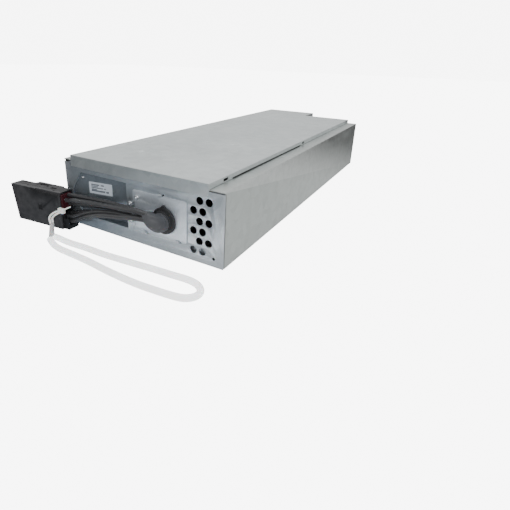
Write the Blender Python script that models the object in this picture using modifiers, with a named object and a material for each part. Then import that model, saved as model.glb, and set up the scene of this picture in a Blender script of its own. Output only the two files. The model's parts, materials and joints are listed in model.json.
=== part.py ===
"""Battery cartridge for a rack power supply: a folded steel tray with a cover, a row of sealed
batteries inside, and six leads from a gland in the front to a flat two-half connector with a pull loop.

Metres, +Z up. The origin is the middle of the underside, the front faces -Y and +X is to the right
as seen from the front. Every piece is drawn in the frame of the front face, whose y is the depth
behind that face, and hangs on an empty that stands there.
"""

import math

import bmesh
import bpy
from mathutils import Matrix, Vector

# Case
CASE_WIDTH = 0.215
CASE_LENGTH = 0.5565  # along the left side
CASE_HEIGHT = 0.084
STEP_DEPTH = 0.0492  # how much shorter the right side is
STEP_X = 0.0036  # where the back steps in
SHEET = 0.001  # thickness of the steel
FIT_GAP = 0.0003  # between pieces that touch
COVER_RISE = 0.0058  # how far the cover's top stands above the tray
TRAY_HEIGHT = CASE_HEIGHT - COVER_RISE
TRAY_RIM_LEFT = 0.018
TRAY_RIM_RIGHT = 0.0225
TRAY_RIM_BACK = 0.015

# Cover
COVER_INSET_LEFT = 0.0124
COVER_INSET_RIGHT = 0.0167
COVER_LIP = 0.0129  # how far its front and back lips hang
COVER_CORNER = 0.0025
SKIRT_SLOTS = ((0.025, 0.034), (0.245, 0.253))  # depths of the slots in the side skirts
SKIRT_RELIEF = (0.043, 0.238)  # where the skirt stands clear of the rim
SKIRT_RELIEF_HEIGHT = 0.0011
COVER_SCREW_XS = (-0.070, -0.020, 0.050)

# Front panel
PANEL_TOP_SLIT = 0.001  # between the panel's top edge and the rim over it
RETURN_DEPTH = 0.012
CORNER_NOTCH = (0.0075, 0.0013)
VENT_DIAMETER = 0.008
VENT_PITCH = 0.0105
VENT_ROW_SHIFT = 0.007
VENT_ROWS = 6
VENT_COLUMNS = 2
VENT_TOP = (0.080, 0.0652)
PIN_HOLE = (0.0967, 0.0087)
PIN_HOLE_DIAMETER = 0.0032
SCREW_HEAD = 0.0054
SCREW_SHANK = 0.0025
SCREW_HEAD_HEIGHT = 0.0016
SCREW_LENGTH = 0.006
PLATE_SCREW = (0.0035, 0.0537)
PANEL_SCREWS = {
    "panel_screw_upper": (-0.0075, 0.0443),
    "panel_screw_lower": (-0.0080, 0.0246),
    "panel_screw_left": (-0.1032, 0.0400),
}

# Recess for the leads: a ramp behind a window in the front panel
POCKET_LEFT = -0.097
POCKET_RAMP_START = -0.086
POCKET_CORNER_X = -0.082
POCKET_RIGHT = -0.013
POCKET_BOTTOM = 0.014
POCKET_TOP = 0.0655
POCKET_SIDE_LOW = 0.034
POCKET_SIDE_HIGH = 0.043
POCKET_DEPTH = 0.0135
POCKET_SHEET = 0.0008
POCKET_FLANGE = 0.0035
LABEL_SIZE = (0.0312, 0.0137, 0.0003)
LABEL_PLACE = (-0.0576, 0.0489)
RIVET_PLACE = (-0.0812, 0.0590)
RIVET_RADIUS = 0.0016

# Gland plate, with the hooks of the front panel that hold it
PLATE_LEFT, PLATE_RIGHT = -0.003, 0.066
PLATE_BOTTOM, PLATE_TOP = 0.0163, 0.0615
PLATE_SHEET = 0.0012
PLATE_CORNER = 0.003
HOOKS = ((0.0340, 1), (0.0132, -1), (0.0556, -1))  # x, and 1 for the top edge or -1 for the bottom
HOOK_WIDTH = 0.004
HOOK_REACH = 0.0016
NOTCH = (0.0025, 0.007)  # width and height of the plate's notches beside the panel screws

# Cable gland and boot
GLAND_X, GLAND_Z = 0.0388, 0.0360
GLAND_NECK = 0.0100
GLAND_FLANGE = 0.0142
GLAND_FLANGE_THICKNESS = 0.0025
GLAND_HUB = 0.0110
GLAND_HUB_THICKNESS = 0.0025
GLAND_BEAD = 0.0118
GLAND_BEAD_THICKNESS = 0.002
GLAND_TAB = (0.0042, 0.0040)  # half width and height of its pointed tab

# Leads
LEAD_DIAMETER = 0.005

# Connector: two shells side by side, standing on a long edge
CONNECTOR_PLACE = (-0.1646, -0.0294)
CONNECTOR_TURN = math.radians(5.55)
SHELL_LENGTH = 0.0710
SHELL_HEIGHT = 0.0440
SHELL_SLANT = 0.0060  # how much further its mating end reaches at the top than at the bottom
NEAR_THICKNESS = 0.0060
FAR_THICKNESS = 0.0100  # at the mating end
FAR_THICKNESS_HUMP = 0.0155  # between
FAR_THICKNESS_BACK = 0.0130  # at the cable end
HUMP_START, HUMP_END = 0.0170, 0.0570
SHELL_WALL = 0.0018
HOUSING_START = 0.0070
HOUSING_PROUD = 0.0015  # how far the housings stand out of the shells at the cable end
HOUSING_HEIGHT = 0.0172
SOCKET_DEPTH = 0.018
SOCKET_WALL = 0.0016
CONTACT_THICKNESS = 0.0016
CENTRE_WEB = 0.0046  # between the two housings
CONNECTOR_SCREW_PLACE = (0.0396, 0.0220)
LUG_SIZE = (0.0080, 0.0023, 0.0130)  # beside the lowest lead
LUG_FLOOR = (0.0150, 0.0050)  # how far back it reaches below the lead, and its height there

# Pull loop
TUBE_DIAMETER = 0.0066
LOOP_PIVOT = (-0.0797, -0.0456, 0.0209)
COLLAR_BOTTOM, COLLAR_BOTTOM_SIZE = (-0.0795, -0.0478, 0.0073), (0.0025, 0.0052)
COLLAR_TOP, COLLAR_TOP_SIZE = (-0.0797, -0.0456, 0.0188), (0.0021, 0.0032)
COLLAR_TURN = math.radians(30)

# Batteries and what joins them
BLOCK_HEIGHT = 0.101  # laid along X, terminals to the middle of the case
BLOCK_LENGTH = 0.0893
BLOCK_THICKNESS = 0.070
BLOCK_GAP = 0.0003
BLOCKS_LEFT, BLOCKS_RIGHT = 6, 4
TAB_SIZE = (0.0044, 0.00635, 0.0008)
TAB_INSET = 0.016
TAB_LEVEL = 0.055
LINK_THICKNESS = 0.001
INSULATOR = 0.0005
FOAM = 0.0050

# What follows from those sizes
FRONT = -CASE_LENGTH / 2
HALF = CASE_WIDTH / 2
SHORT_LENGTH = CASE_LENGTH - STEP_DEPTH
LIP_ROOM = SHEET + FIT_GAP
TRAY_START = SHEET + FIT_GAP
TRAY_END = CASE_LENGTH - LIP_ROOM
TRAY_SHORT_END = SHORT_LENGTH - LIP_ROOM
RIM_BOTTOM = TRAY_HEIGHT - SHEET
PANEL_TOP = RIM_BOTTOM - PANEL_TOP_SLIT
COVER_LEFT = -HALF + COVER_INSET_LEFT
COVER_RIGHT = HALF - COVER_INSET_RIGHT
SKIRT_BOTTOM = TRAY_HEIGHT + FIT_GAP
PLATE_BACK = -FIT_GAP
PLATE_FRONT = PLATE_BACK - PLATE_SHEET
FLANGE_BACK = PLATE_FRONT - FIT_GAP
FLANGE_FRONT = FLANGE_BACK - GLAND_FLANGE_THICKNESS
HUB_FRONT = FLANGE_FRONT - GLAND_HUB_THICKNESS
BEHIND_PANEL = SHEET + FIT_GAP
BLOCK_PITCH = BLOCK_LENGTH + BLOCK_GAP
BLOCK_FRONT = POCKET_DEPTH + POCKET_SHEET + 2 * FIT_GAP
BLOCK_BOTTOM = SHEET + FIT_GAP
BLOCK_INNER = HALF - SHEET - FIT_GAP - BLOCK_HEIGHT
RIGHT_FRONT = TRAY_SHORT_END - SHEET - FIT_GAP - BLOCKS_RIGHT * BLOCK_PITCH
PARTING = NEAR_THICKNESS
CAVITY_NEAR = SHELL_WALL
CAVITY_FAR = NEAR_THICKNESS + FAR_THICKNESS_BACK - SHELL_WALL
CAVITY_FAR_MATING = NEAR_THICKNESS + FAR_THICKNESS - SHELL_WALL
HOUSING_LENGTH = SHELL_LENGTH + HOUSING_PROUD - HOUSING_START
LOWER_HOUSING = SHELL_WALL + FIT_GAP
UPPER_HOUSING = SHELL_HEIGHT / 2 + CENTRE_WEB / 2

# Routes, as (x, depth, z), between the ends that the connector and the boot give.
LEAD_MIDDLES = {
    "battery_lead_1": (
        (-0.0800, -0.0098, 0.0402), (-0.0560, -0.0090, 0.0413), (-0.0330, -0.0092, 0.0425),
        (-0.0080, -0.0112, 0.0438), (0.0130, -0.0140, 0.0448),
    ),
    "battery_lead_2": (
        (-0.0800, -0.0148, 0.0364), (-0.0560, -0.0150, 0.0392), (-0.0320, -0.0155, 0.0412),
        (-0.0050, -0.0174, 0.0440), (0.0130, -0.0194, 0.0462),
    ),
    "battery_lead_3": (
        (-0.0800, -0.0090, 0.0306), (-0.0560, -0.0078, 0.0334), (-0.0380, -0.0076, 0.0352),
        (-0.0080, -0.0082, 0.0384), (0.0130, -0.0094, 0.0416),
    ),
    "battery_lead_4": (
        (-0.0800, -0.0094, 0.0200), (-0.0560, -0.0086, 0.0264), (-0.0380, -0.0086, 0.0298),
        (-0.0080, -0.0104, 0.0332), (0.0130, -0.0120, 0.0362),
    ),
    "battery_lead_5": (
        (-0.0800, -0.0144, 0.0175), (-0.0560, -0.0141, 0.0268), (-0.0330, -0.0145, 0.0330),
        (-0.0050, -0.0158, 0.0372), (0.0130, -0.0171, 0.0392),
    ),
    "battery_lead_6": (
        (-0.0820, -0.0144, 0.0110), (-0.0680, -0.0176, 0.0176), (-0.0520, -0.0191, 0.0248),
        (-0.0300, -0.0201, 0.0314), (-0.0050, -0.0213, 0.0360), (0.0130, -0.0226, 0.0399),
    ),
}
# Where each lead leaves the connector (depth from its near face, height) and enters the boot's mouth.
LEAD_ENDS = {
    "battery_lead_1": ((0.0124, 0.0390), (0.0002, 0.0027)),
    "battery_lead_2": ((0.0078, 0.0343), (-0.0053, 0.0027)),
    "battery_lead_3": ((0.0130, 0.0288), (0.0057, 0.0027)),
    "battery_lead_4": ((0.0141, 0.0167), (0.0057, -0.0027)),
    "battery_lead_5": ((0.0089, 0.0147), (0.0002, -0.0027)),
    "battery_lead_6": ((0.0078, 0.0088), (-0.0053, -0.0027)),
}
LOOP_ROUTE = (
    (-0.0812, -0.0444, 0.0036), (-0.0745, -0.0443, 0.0036), (-0.0543, -0.0455, 0.0036),
    (-0.0297, -0.0442, 0.0036), (-0.0044, -0.0440, 0.0036), (0.0247, -0.0418, 0.0036),
    (0.0518, -0.0394, 0.0036), (0.0780, -0.0376, 0.0036), (0.0915, -0.0366, 0.0036),
    (0.1025, -0.0381, 0.0036), (0.1108, -0.0436, 0.0036), (0.1136, -0.0510, 0.0036),
    (0.1105, -0.0583, 0.0036), (0.1020, -0.0630, 0.0036), (0.0805, -0.0655, 0.0036),
    (0.0552, -0.0666, 0.0036), (0.0253, -0.0652, 0.0036), (-0.0098, -0.0619, 0.0036),
    (-0.0359, -0.0607, 0.0036), (-0.0510, -0.0600, 0.0036), (-0.0625, -0.0577, 0.0036),
    (-0.0710, -0.0543, 0.0036), (-0.0778, -0.0513, 0.0036),
)
TIE_HEAD = ((-0.0924, -0.0842), (-0.0277, -0.0236), (0.0228, 0.0284))
TIE_STRANDS = (
    ((-0.0912, -0.0258, 0.0252), (-0.0928, -0.0305, 0.0246), (-0.0912, -0.0372, 0.0238),
     (-0.0864, -0.0430, 0.0232), (-0.0814, -0.0462, 0.0217), (-0.0799, -0.0470, 0.0199)),
    ((-0.0880, -0.0258, 0.0245), (-0.0898, -0.0300, 0.0234), (-0.0888, -0.0356, 0.0226),
     (-0.0848, -0.0408, 0.0224), (-0.0808, -0.0436, 0.0213), (-0.0798, -0.0442, 0.0199)),
)
TIE_TAIL = ((-0.0862, -0.0256, 0.0262), (-0.0800, -0.0252, 0.0298), (-0.0738, -0.0246, 0.0330))
INNER_LEADS = {
    "inner_lead_positive": (
        (0.0445, 0.0045, 0.0372), (0.0450, 0.0160, 0.0360), (0.0470, 0.0300, 0.0300),
        (0.0505, 0.0420, 0.0190), (0.0520, 0.0495, 0.0160),
    ),
    "inner_lead_negative": (
        (0.0345, 0.0045, 0.0372), (0.0335, 0.0200, 0.0400), (0.0280, 0.0450, 0.0450),
        (0.0200, 0.0700, 0.0480), (0.0120, 0.0850, 0.0470), (0.0050, 0.0930, 0.0440),
    ),
}


def collection(name):
    """A new collection in the scene."""
    made = bpy.data.collections.new(name)
    bpy.context.scene.collection.children.link(made)
    return made


def empty(name, location, parent=None, turn=0.0):
    """A frame that pieces hang on."""
    made = bpy.data.objects.new(name, None)
    made.empty_display_size = 0.02
    made.location = location
    made.rotation_euler.z = turn
    made.parent = parent
    CARTRIDGE.objects.link(made)
    return made


def piece(name, data, parent, finish):
    """An object of the cartridge, with a material of its own."""
    made = bpy.data.objects.new(name, data)
    made.parent = parent
    CARTRIDGE.objects.link(made)
    colour, roughness, metallic = finish
    material = bpy.data.materials.new(name)
    material.use_nodes = True
    shader = material.node_tree.nodes["Principled BSDF"]
    shader.inputs["Base Color"].default_value = (*colour, 1)
    shader.inputs["Roughness"].default_value = roughness
    shader.inputs["Metallic"].default_value = metallic
    data.materials.append(material)
    return made


def tool(name, data, parent):
    """A cutter, or a body that a Boolean joins to a piece."""
    made = bpy.data.objects.new(name, data)
    made.parent = parent
    made.display_type = "WIRE"
    made.hide_render = True
    CUTTERS.objects.link(made)
    return made


def combine(target, operation, name, data, parent=None):
    """Cuts, or joins, one more body, drawn in the target's own frame or in the parent's."""
    other = tool(f"{target.name}_{name}", data, parent or target.parent)
    if parent is None:
        other.location = target.location
        other.rotation_euler = target.rotation_euler
    step = target.modifiers.new(name, "BOOLEAN")
    step.operation = operation
    step.solver = "EXACT"
    step.object = other
    return other


def cut(target, name, data, parent=None):
    return combine(target, "DIFFERENCE", name, data, parent)


def join(target, name, data, parent=None):
    return combine(target, "UNION", name, data, parent)


def bevel(target, width, segments=1):
    """Rounds the sharp edges."""
    step = target.modifiers.new("bevel", "BEVEL")
    step.width = width
    step.segments = segments
    step.limit_method = "ANGLE"


def mesh_from(name, build):
    """The mesh that a function fills."""
    mesh = bpy.data.meshes.new(name)
    shape = bmesh.new()
    build(shape)
    shape.to_mesh(mesh)
    shape.free()
    return mesh


def boxes(name, *spans):
    """Blocks, each given as its (low, high) along x, depth and z."""

    def build(shape):
        for x, y, z in spans:
            size = (x[1] - x[0], y[1] - y[0], z[1] - z[0])
            centre = Vector((sum(x) / 2, sum(y) / 2, sum(z) / 2))
            place = Matrix.Translation(centre) @ Matrix.Diagonal((*size, 1))
            bmesh.ops.create_cube(shape, size=1, matrix=place)

    return mesh_from(name, build)


AXIS_TURNS = {
    "X": Matrix.Rotation(math.pi / 2, 4, "Y"),
    "Y": Matrix.Rotation(-math.pi / 2, 4, "X"),
    "Z": Matrix.Identity(4),
}


def cylinders(name, centres, radius, start, end, axis="Y", segments=20):
    """Round bars along one axis, from start to end on it, at these (x, z), (y, z) or (x, y) places."""
    order = {"X": lambda a, b, c: (c, a, b), "Y": lambda a, b, c: (a, c, b), "Z": lambda a, b, c: (a, b, c)}

    def build(shape):
        for a, b in centres:
            centre = Matrix.Translation(order[axis](a, b, (start + end) / 2))
            bmesh.ops.create_cone(
                shape, cap_ends=True, segments=segments, radius1=radius, radius2=radius,
                depth=abs(end - start), matrix=centre @ AXIS_TURNS[axis],
            )

    made = mesh_from(name, build)
    made.shade_smooth()
    made.set_sharp_from_angle(angle=math.radians(40))
    return made


def slab(name, outline, start, end, normal="Z"):
    """A flat outline with thickness: (x, y) along Z, or (x, z) along the depth."""
    curve = bpy.data.curves.new(name, "CURVE")
    curve.dimensions = "2D"
    curve.fill_mode = "BOTH"
    curve.extrude = (end - start) / 2
    spline = curve.splines.new("POLY")
    spline.points.add(len(outline) - 1)
    for point, (a, b) in zip(spline.points, outline):
        point.co = (a, b, 0, 1)
    spline.use_cyclic_u = True
    guide = bpy.data.objects.new(name, curve)
    CUTTERS.objects.link(guide)
    mesh = bpy.data.meshes.new_from_object(guide.evaluated_get(bpy.context.evaluated_depsgraph_get()))
    bpy.data.objects.remove(guide)
    middle = (start + end) / 2
    if normal == "Y":
        mesh.transform(Matrix.Translation((0, middle, 0)) @ Matrix.Rotation(math.pi / 2, 4, "X"))
    else:
        mesh.transform(Matrix.Translation((0, 0, middle)))
    return welded(mesh)


def welded(mesh):
    """The mesh with its caps joined to its sides and its faces pointing out."""
    shape = bmesh.new()
    shape.from_mesh(mesh)
    bmesh.ops.remove_doubles(shape, verts=shape.verts, dist=1e-6)
    bmesh.ops.recalc_face_normals(shape, faces=shape.faces)
    shape.to_mesh(mesh)
    shape.free()
    return mesh


def turned(name, profile, parent, location, finish, segments=24):
    """A round piece about the depth axis: (radius, distance forward) down its outer side."""
    mesh = bpy.data.meshes.new(name)
    mesh.from_pydata([(r, 0, h) for r, h in profile], [(i, i + 1) for i in range(len(profile) - 1)], [])
    made = piece(name, mesh, parent, finish)
    made.location = location
    made.rotation_euler.x = math.pi / 2
    screw = made.modifiers.new("turn", "SCREW")
    screw.steps = screw.render_steps = segments
    screw.use_merge_vertices = True
    screw.merge_threshold = 1e-6
    screw.use_smooth_shade = True
    return made


def loft(name, rings):
    """A closed skin through rings of as many points each, with flat ends."""

    def build(shape):
        rows = [[shape.verts.new(p) for p in ring] for ring in rings]
        count = len(rows[0])
        for one, two in zip(rows, rows[1:]):
            for i in range(count):
                j = (i + 1) % count
                shape.faces.new((one[i], one[j], two[j], two[i]))
        shape.faces.new(rows[0][::-1])
        shape.faces.new(rows[-1])
        bmesh.ops.recalc_face_normals(shape, faces=shape.faces)

    return mesh_from(name, build)


def smooth_route(points, spacing):
    """Points a given distance apart on the smooth curve through the route's own points."""
    route = [Vector(p) for p in points]
    route = [2 * route[0] - route[1], *route, 2 * route[-1] - route[-2]]
    fine = []
    steps = 24
    for a, b, c, d in zip(route, route[1:], route[2:], route[3:]):
        for i in range(steps):
            t = i / steps
            fine.append(
                0.5 * (2 * b + (c - a) * t + (2 * a - 5 * b + 4 * c - d) * t**2
                       + (3 * b - 3 * c + d - a) * t**3)
            )
    fine.append(route[-2])
    lengths = [0.0]
    for a, b in zip(fine, fine[1:]):
        lengths.append(lengths[-1] + (b - a).length)
    count = max(2, round(lengths[-1] / spacing))
    chosen, at = [], 0
    for i in range(count + 1):
        want = lengths[-1] * i / count
        while at < len(fine) - 2 and lengths[at + 1] < want:
            at += 1
        share = (want - lengths[at]) / (lengths[at + 1] - lengths[at])
        chosen.append(fine[at].lerp(fine[at + 1], share))
    return chosen


def cord_curve(name, points, diameter, spacing, resolution=2):
    """A tube along a route."""
    curve = bpy.data.curves.new(name, "CURVE")
    curve.dimensions = "3D"
    curve.bevel_depth = diameter / 2
    curve.bevel_resolution = resolution
    curve.use_fill_caps = True
    route = smooth_route(points, spacing)
    spline = curve.splines.new("POLY")
    spline.points.add(len(route) - 1)
    for point, co in zip(spline.points, route):
        point.co = (*co, 1)
    return curve


def cord_mesh(name, points, diameter, spacing, resolution=1):
    """The same tube as a closed mesh, for joining to another body."""
    guide = bpy.data.objects.new(name, cord_curve(name, points, diameter, spacing, resolution))
    CUTTERS.objects.link(guide)
    mesh = bpy.data.meshes.new_from_object(guide.evaluated_get(bpy.context.evaluated_depsgraph_get()))
    bpy.data.objects.remove(guide)
    return welded(mesh)


ZINC = ((0.52, 0.55, 0.56), 0.38, 0.9)
RUBBER = ((0.035, 0.037, 0.040), 0.55, 0.0)
SLEEVE = ((0.060, 0.064, 0.075), 0.50, 0.0)
LEAD = ((0.040, 0.040, 0.042), 0.42, 0.0)
SHELL = ((0.028, 0.028, 0.031), 0.48, 0.0)
RED = ((0.20, 0.012, 0.018), 0.45, 0.0)
BLACK = ((0.015, 0.015, 0.016), 0.45, 0.0)
COPPER = ((0.72, 0.65, 0.55), 0.30, 1.0)
SCREW = ((0.62, 0.64, 0.66), 0.28, 1.0)
NYLON = ((0.72, 0.72, 0.70), 0.35, 0.0)
VINYL = ((0.86, 0.87, 0.88), 0.30, 0.0)
PAPER = ((0.72, 0.78, 0.84), 0.55, 0.0)
CASE_PLASTIC = ((0.05, 0.05, 0.055), 0.55, 0.0)
LEAD_TIN = ((0.60, 0.60, 0.58), 0.35, 1.0)
FOAM_GREY = ((0.10, 0.10, 0.11), 0.90, 0.0)
FISH_PAPER = ((0.55, 0.50, 0.38), 0.75, 0.0)
FUSE_BODY = ((0.62, 0.60, 0.54), 0.45, 0.0)


def stepped_outline(left, right, front, long_end, short_end, step):
    """The case's plan, which is shorter to the right of the step."""
    return [
        (left, front), (right, front), (right, short_end),
        (step, short_end), (step, long_end), (left, long_end),
    ]


def build_tray(front):
    """The bottom, the sides, the stepped back and the rims turned in along their tops."""
    walls = (TRAY_END, TRAY_SHORT_END)
    tray = piece(
        "base_tray",
        slab("base_tray", stepped_outline(-HALF, HALF, 0, *walls, STEP_X), 0, TRAY_HEIGHT), front, ZINC,
    )
    inner = stepped_outline(
        -HALF + SHEET, HALF - SHEET, -SHEET, TRAY_END - SHEET, TRAY_SHORT_END - SHEET, STEP_X - SHEET
    )
    cut(tray, "inside", slab("inside", inner, SHEET, RIM_BOTTOM))
    mouth = stepped_outline(
        -HALF + TRAY_RIM_LEFT, HALF - TRAY_RIM_RIGHT, -SHEET, TRAY_END - TRAY_RIM_BACK,
        TRAY_SHORT_END - TRAY_RIM_BACK, STEP_X - TRAY_RIM_BACK,
    )
    cut(tray, "mouth", slab("mouth", mouth, RIM_BOTTOM - SHEET, TRAY_HEIGHT + SHEET))
    room = ((-CASE_WIDTH, CASE_WIDTH), (-SHEET, TRAY_START), (-SHEET, RIM_BOTTOM))
    cut(tray, "panel_room", boxes("panel_room", room))
    holes = [(x, CASE_HEIGHT - COVER_LIP + SCREW_HEAD / 2 + SHEET) for x in COVER_SCREW_XS]
    for name, (x, z), back in zip("abc", holes, cover_screw_depths()):
        hole = cylinders("hole", [(x, z)], SCREW_SHANK / 2 + FIT_GAP, back - SCREW_LENGTH, back, segments=12)
        cut(tray, f"screw_{name}", hole)
    return tray


def cover_screw_depths():
    """The depth of the outer face of the back lip at each cover screw."""
    return [CASE_LENGTH if x < STEP_X else SHORT_LENGTH for x in COVER_SCREW_XS]


def build_cover(front):
    """The lid: a shallow pan on the rims, with lips over the front panel and the back walls."""
    outline = stepped_outline(COVER_LEFT, COVER_RIGHT, -LIP_ROOM, CASE_LENGTH, SHORT_LENGTH, STEP_X)
    cover = piece("top_cover", slab("top_cover", outline, SKIRT_BOTTOM, CASE_HEIGHT), front, ZINC)
    lip_bottom = CASE_HEIGHT - COVER_LIP
    lips = boxes(
        "lips",
        ((COVER_LEFT, COVER_RIGHT), (-LIP_ROOM, -FIT_GAP), (lip_bottom, CASE_HEIGHT - SHEET / 2)),
        ((COVER_LEFT, STEP_X), (CASE_LENGTH - SHEET, CASE_LENGTH), (lip_bottom, CASE_HEIGHT - SHEET / 2)),
        ((STEP_X + FIT_GAP, COVER_RIGHT), (SHORT_LENGTH - SHEET, SHORT_LENGTH),
         (lip_bottom, CASE_HEIGHT - SHEET / 2)),
    )
    join(cover, "lips", lips)
    inside = stepped_outline(
        COVER_LEFT + SHEET, COVER_RIGHT - SHEET, -FIT_GAP, CASE_LENGTH - SHEET, SHORT_LENGTH - SHEET,
        STEP_X - SHEET,
    )
    cut(cover, "inside", slab("inside", inside, SKIRT_BOTTOM - SHEET, CASE_HEIGHT - SHEET))
    low, high = SKIRT_BOTTOM + SKIRT_RELIEF_HEIGHT, CASE_HEIGHT - 1.6 * SHEET
    openings = [((-CASE_WIDTH, CASE_WIDTH), slot, (low, high)) for slot in SKIRT_SLOTS]
    openings.append(((-CASE_WIDTH, CASE_WIDTH), SKIRT_RELIEF, (SKIRT_BOTTOM - SHEET, low)))
    cut(cover, "skirt_openings", boxes("skirt_openings", *openings))
    corner = [
        (COVER_RIGHT - COVER_CORNER, lip_bottom - SHEET), (COVER_RIGHT + SHEET, lip_bottom - SHEET),
        (COVER_RIGHT + SHEET, lip_bottom + COVER_CORNER), (COVER_RIGHT, lip_bottom + COVER_CORNER),
        (COVER_RIGHT - COVER_CORNER, lip_bottom),
    ]
    cut(cover, "corner", slab("corner", corner, -2 * LIP_ROOM, 0, "Y"))
    z = lip_bottom + SCREW_HEAD / 2 + SHEET
    for name, x, back in zip("abc", COVER_SCREW_XS, cover_screw_depths()):
        hole = cylinders("hole", [(x, z)], SCREW_SHANK / 2 + FIT_GAP, back - 2 * SHEET, back + SHEET, segments=12)
        cut(cover, f"screw_{name}", hole)
        build_screw(f"cover_screw_{name}", front, (x, back + FIT_GAP, z), turn=math.pi)
    return cover


def build_screw(name, front, place, turn=0.0):
    """A pan head on a shank, whose seat is at the place given."""
    head, shank, high = SCREW_HEAD / 2, SCREW_SHANK / 2, SCREW_HEAD_HEIGHT
    profile = [
        (0, high), (head * 0.55, high * 0.94), (head * 0.88, high * 0.62), (head, high * 0.2), (head, 0),
        (shank, 0), (shank, -SCREW_LENGTH), (0, -SCREW_LENGTH),
    ]
    screw = turned(name, profile, front, place, SCREW, 16)
    screw.rotation_euler.z = turn
    return screw


def vent_places():
    """The centres of the vents: rows of two, every other one shifted to the left."""
    x, z = VENT_TOP
    return [
        (x + column * VENT_PITCH - row % 2 * VENT_ROW_SHIFT, z - row * VENT_PITCH)
        for row in range(VENT_ROWS)
        for column in range(VENT_COLUMNS)
    ]


def pocket_outline():
    """The window in the front panel over the recess."""
    return [
        (POCKET_CORNER_X, POCKET_BOTTOM), (POCKET_RIGHT, POCKET_BOTTOM), (POCKET_RIGHT, POCKET_TOP),
        (POCKET_CORNER_X, POCKET_TOP), (POCKET_LEFT, POCKET_SIDE_HIGH), (POCKET_LEFT, POCKET_SIDE_LOW),
    ]


def hook_spans():
    """Each hook's stem and finger, and the lanced slot that it was bent out of."""
    stems, fingers, slots = [], [], []
    for x, side in HOOKS:
        edge = PLATE_TOP if side > 0 else PLATE_BOTTOM
        across = (x - HOOK_WIDTH / 2, x + HOOK_WIDTH / 2)
        stem = sorted((edge + side * FIT_GAP, edge + side * (FIT_GAP + SHEET)))
        finger = sorted((edge - side * HOOK_REACH, edge + side * (FIT_GAP + SHEET)))
        outer = PLATE_FRONT - FIT_GAP
        stems.append((across, (outer - SHEET, SHEET / 2), stem))
        fingers.append((across, (outer - SHEET, outer), finger))
        slot = sorted((edge - side * HOOK_REACH, edge + side * FIT_GAP))
        wide = (x - HOOK_WIDTH / 2 - SHEET, x + HOOK_WIDTH / 2 + SHEET)
        slots.append((wide, (-SHEET, 2 * SHEET), slot))
    return stems, fingers, slots


def build_panel(front):
    """The front panel: vents, the recess's window, hooks for the gland plate, and turned-in edges."""
    panel = piece(
        "front_panel", boxes("front_panel", ((-HALF, HALF), (0, SHEET), (0, PANEL_TOP))), front, ZINC
    )
    inner = HALF - SHEET - FIT_GAP
    deep = (SHEET / 2, RETURN_DEPTH)
    returns = boxes(
        "returns",
        ((-inner, -inner + SHEET), deep, (0.005, 0.072)),
        ((inner - SHEET, inner), deep, (0.005, 0.072)),
        ((-inner + 0.004, inner - 0.004), deep, (SHEET + FIT_GAP, 2 * SHEET + FIT_GAP)),
    )
    join(panel, "returns", returns)
    stems, fingers, slots = hook_spans()
    cut(panel, "lances", boxes("lances", *slots))
    join(panel, "stems", boxes("stems", *stems))
    join(panel, "fingers", boxes("fingers", *fingers))
    cut(panel, "window", slab("window", pocket_outline(), -SHEET, 2 * SHEET, "Y"))
    cut(panel, "vents", cylinders("vents", vent_places(), VENT_DIAMETER / 2, -SHEET, 2 * SHEET))
    cut(panel, "gland_hole", cylinders("gland_hole", [(GLAND_X, GLAND_Z)], GLAND_NECK + FIT_GAP, -SHEET,
                                       2 * SHEET, segments=24))
    screws = [PLATE_SCREW, *PANEL_SCREWS.values()]
    cut(panel, "screw_holes", cylinders("screw_holes", screws, SCREW_SHANK / 2 + FIT_GAP, -SHEET,
                                        2 * SHEET, segments=12))
    cut(panel, "pin_hole", cylinders("pin_hole", [PIN_HOLE], PIN_HOLE_DIAMETER / 2, -SHEET, 2 * SHEET,
                                     segments=12))
    wide, tall = CORNER_NOTCH
    notch = ((-CASE_WIDTH, -HALF + wide), (-SHEET, 2 * SHEET), (PANEL_TOP - tall, CASE_HEIGHT))
    cut(panel, "corner_notch", boxes("corner_notch", notch))
    for name, (x, z) in PANEL_SCREWS.items():
        build_screw(name, front, (x, -FIT_GAP, z))
    return panel


def ramp_depth(x):
    """The depth of the recess's floor at x."""
    share = (x - POCKET_RAMP_START) / (POCKET_RIGHT - POCKET_RAMP_START)
    return BEHIND_PANEL + share * (POCKET_DEPTH - BEHIND_PANEL)


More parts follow.
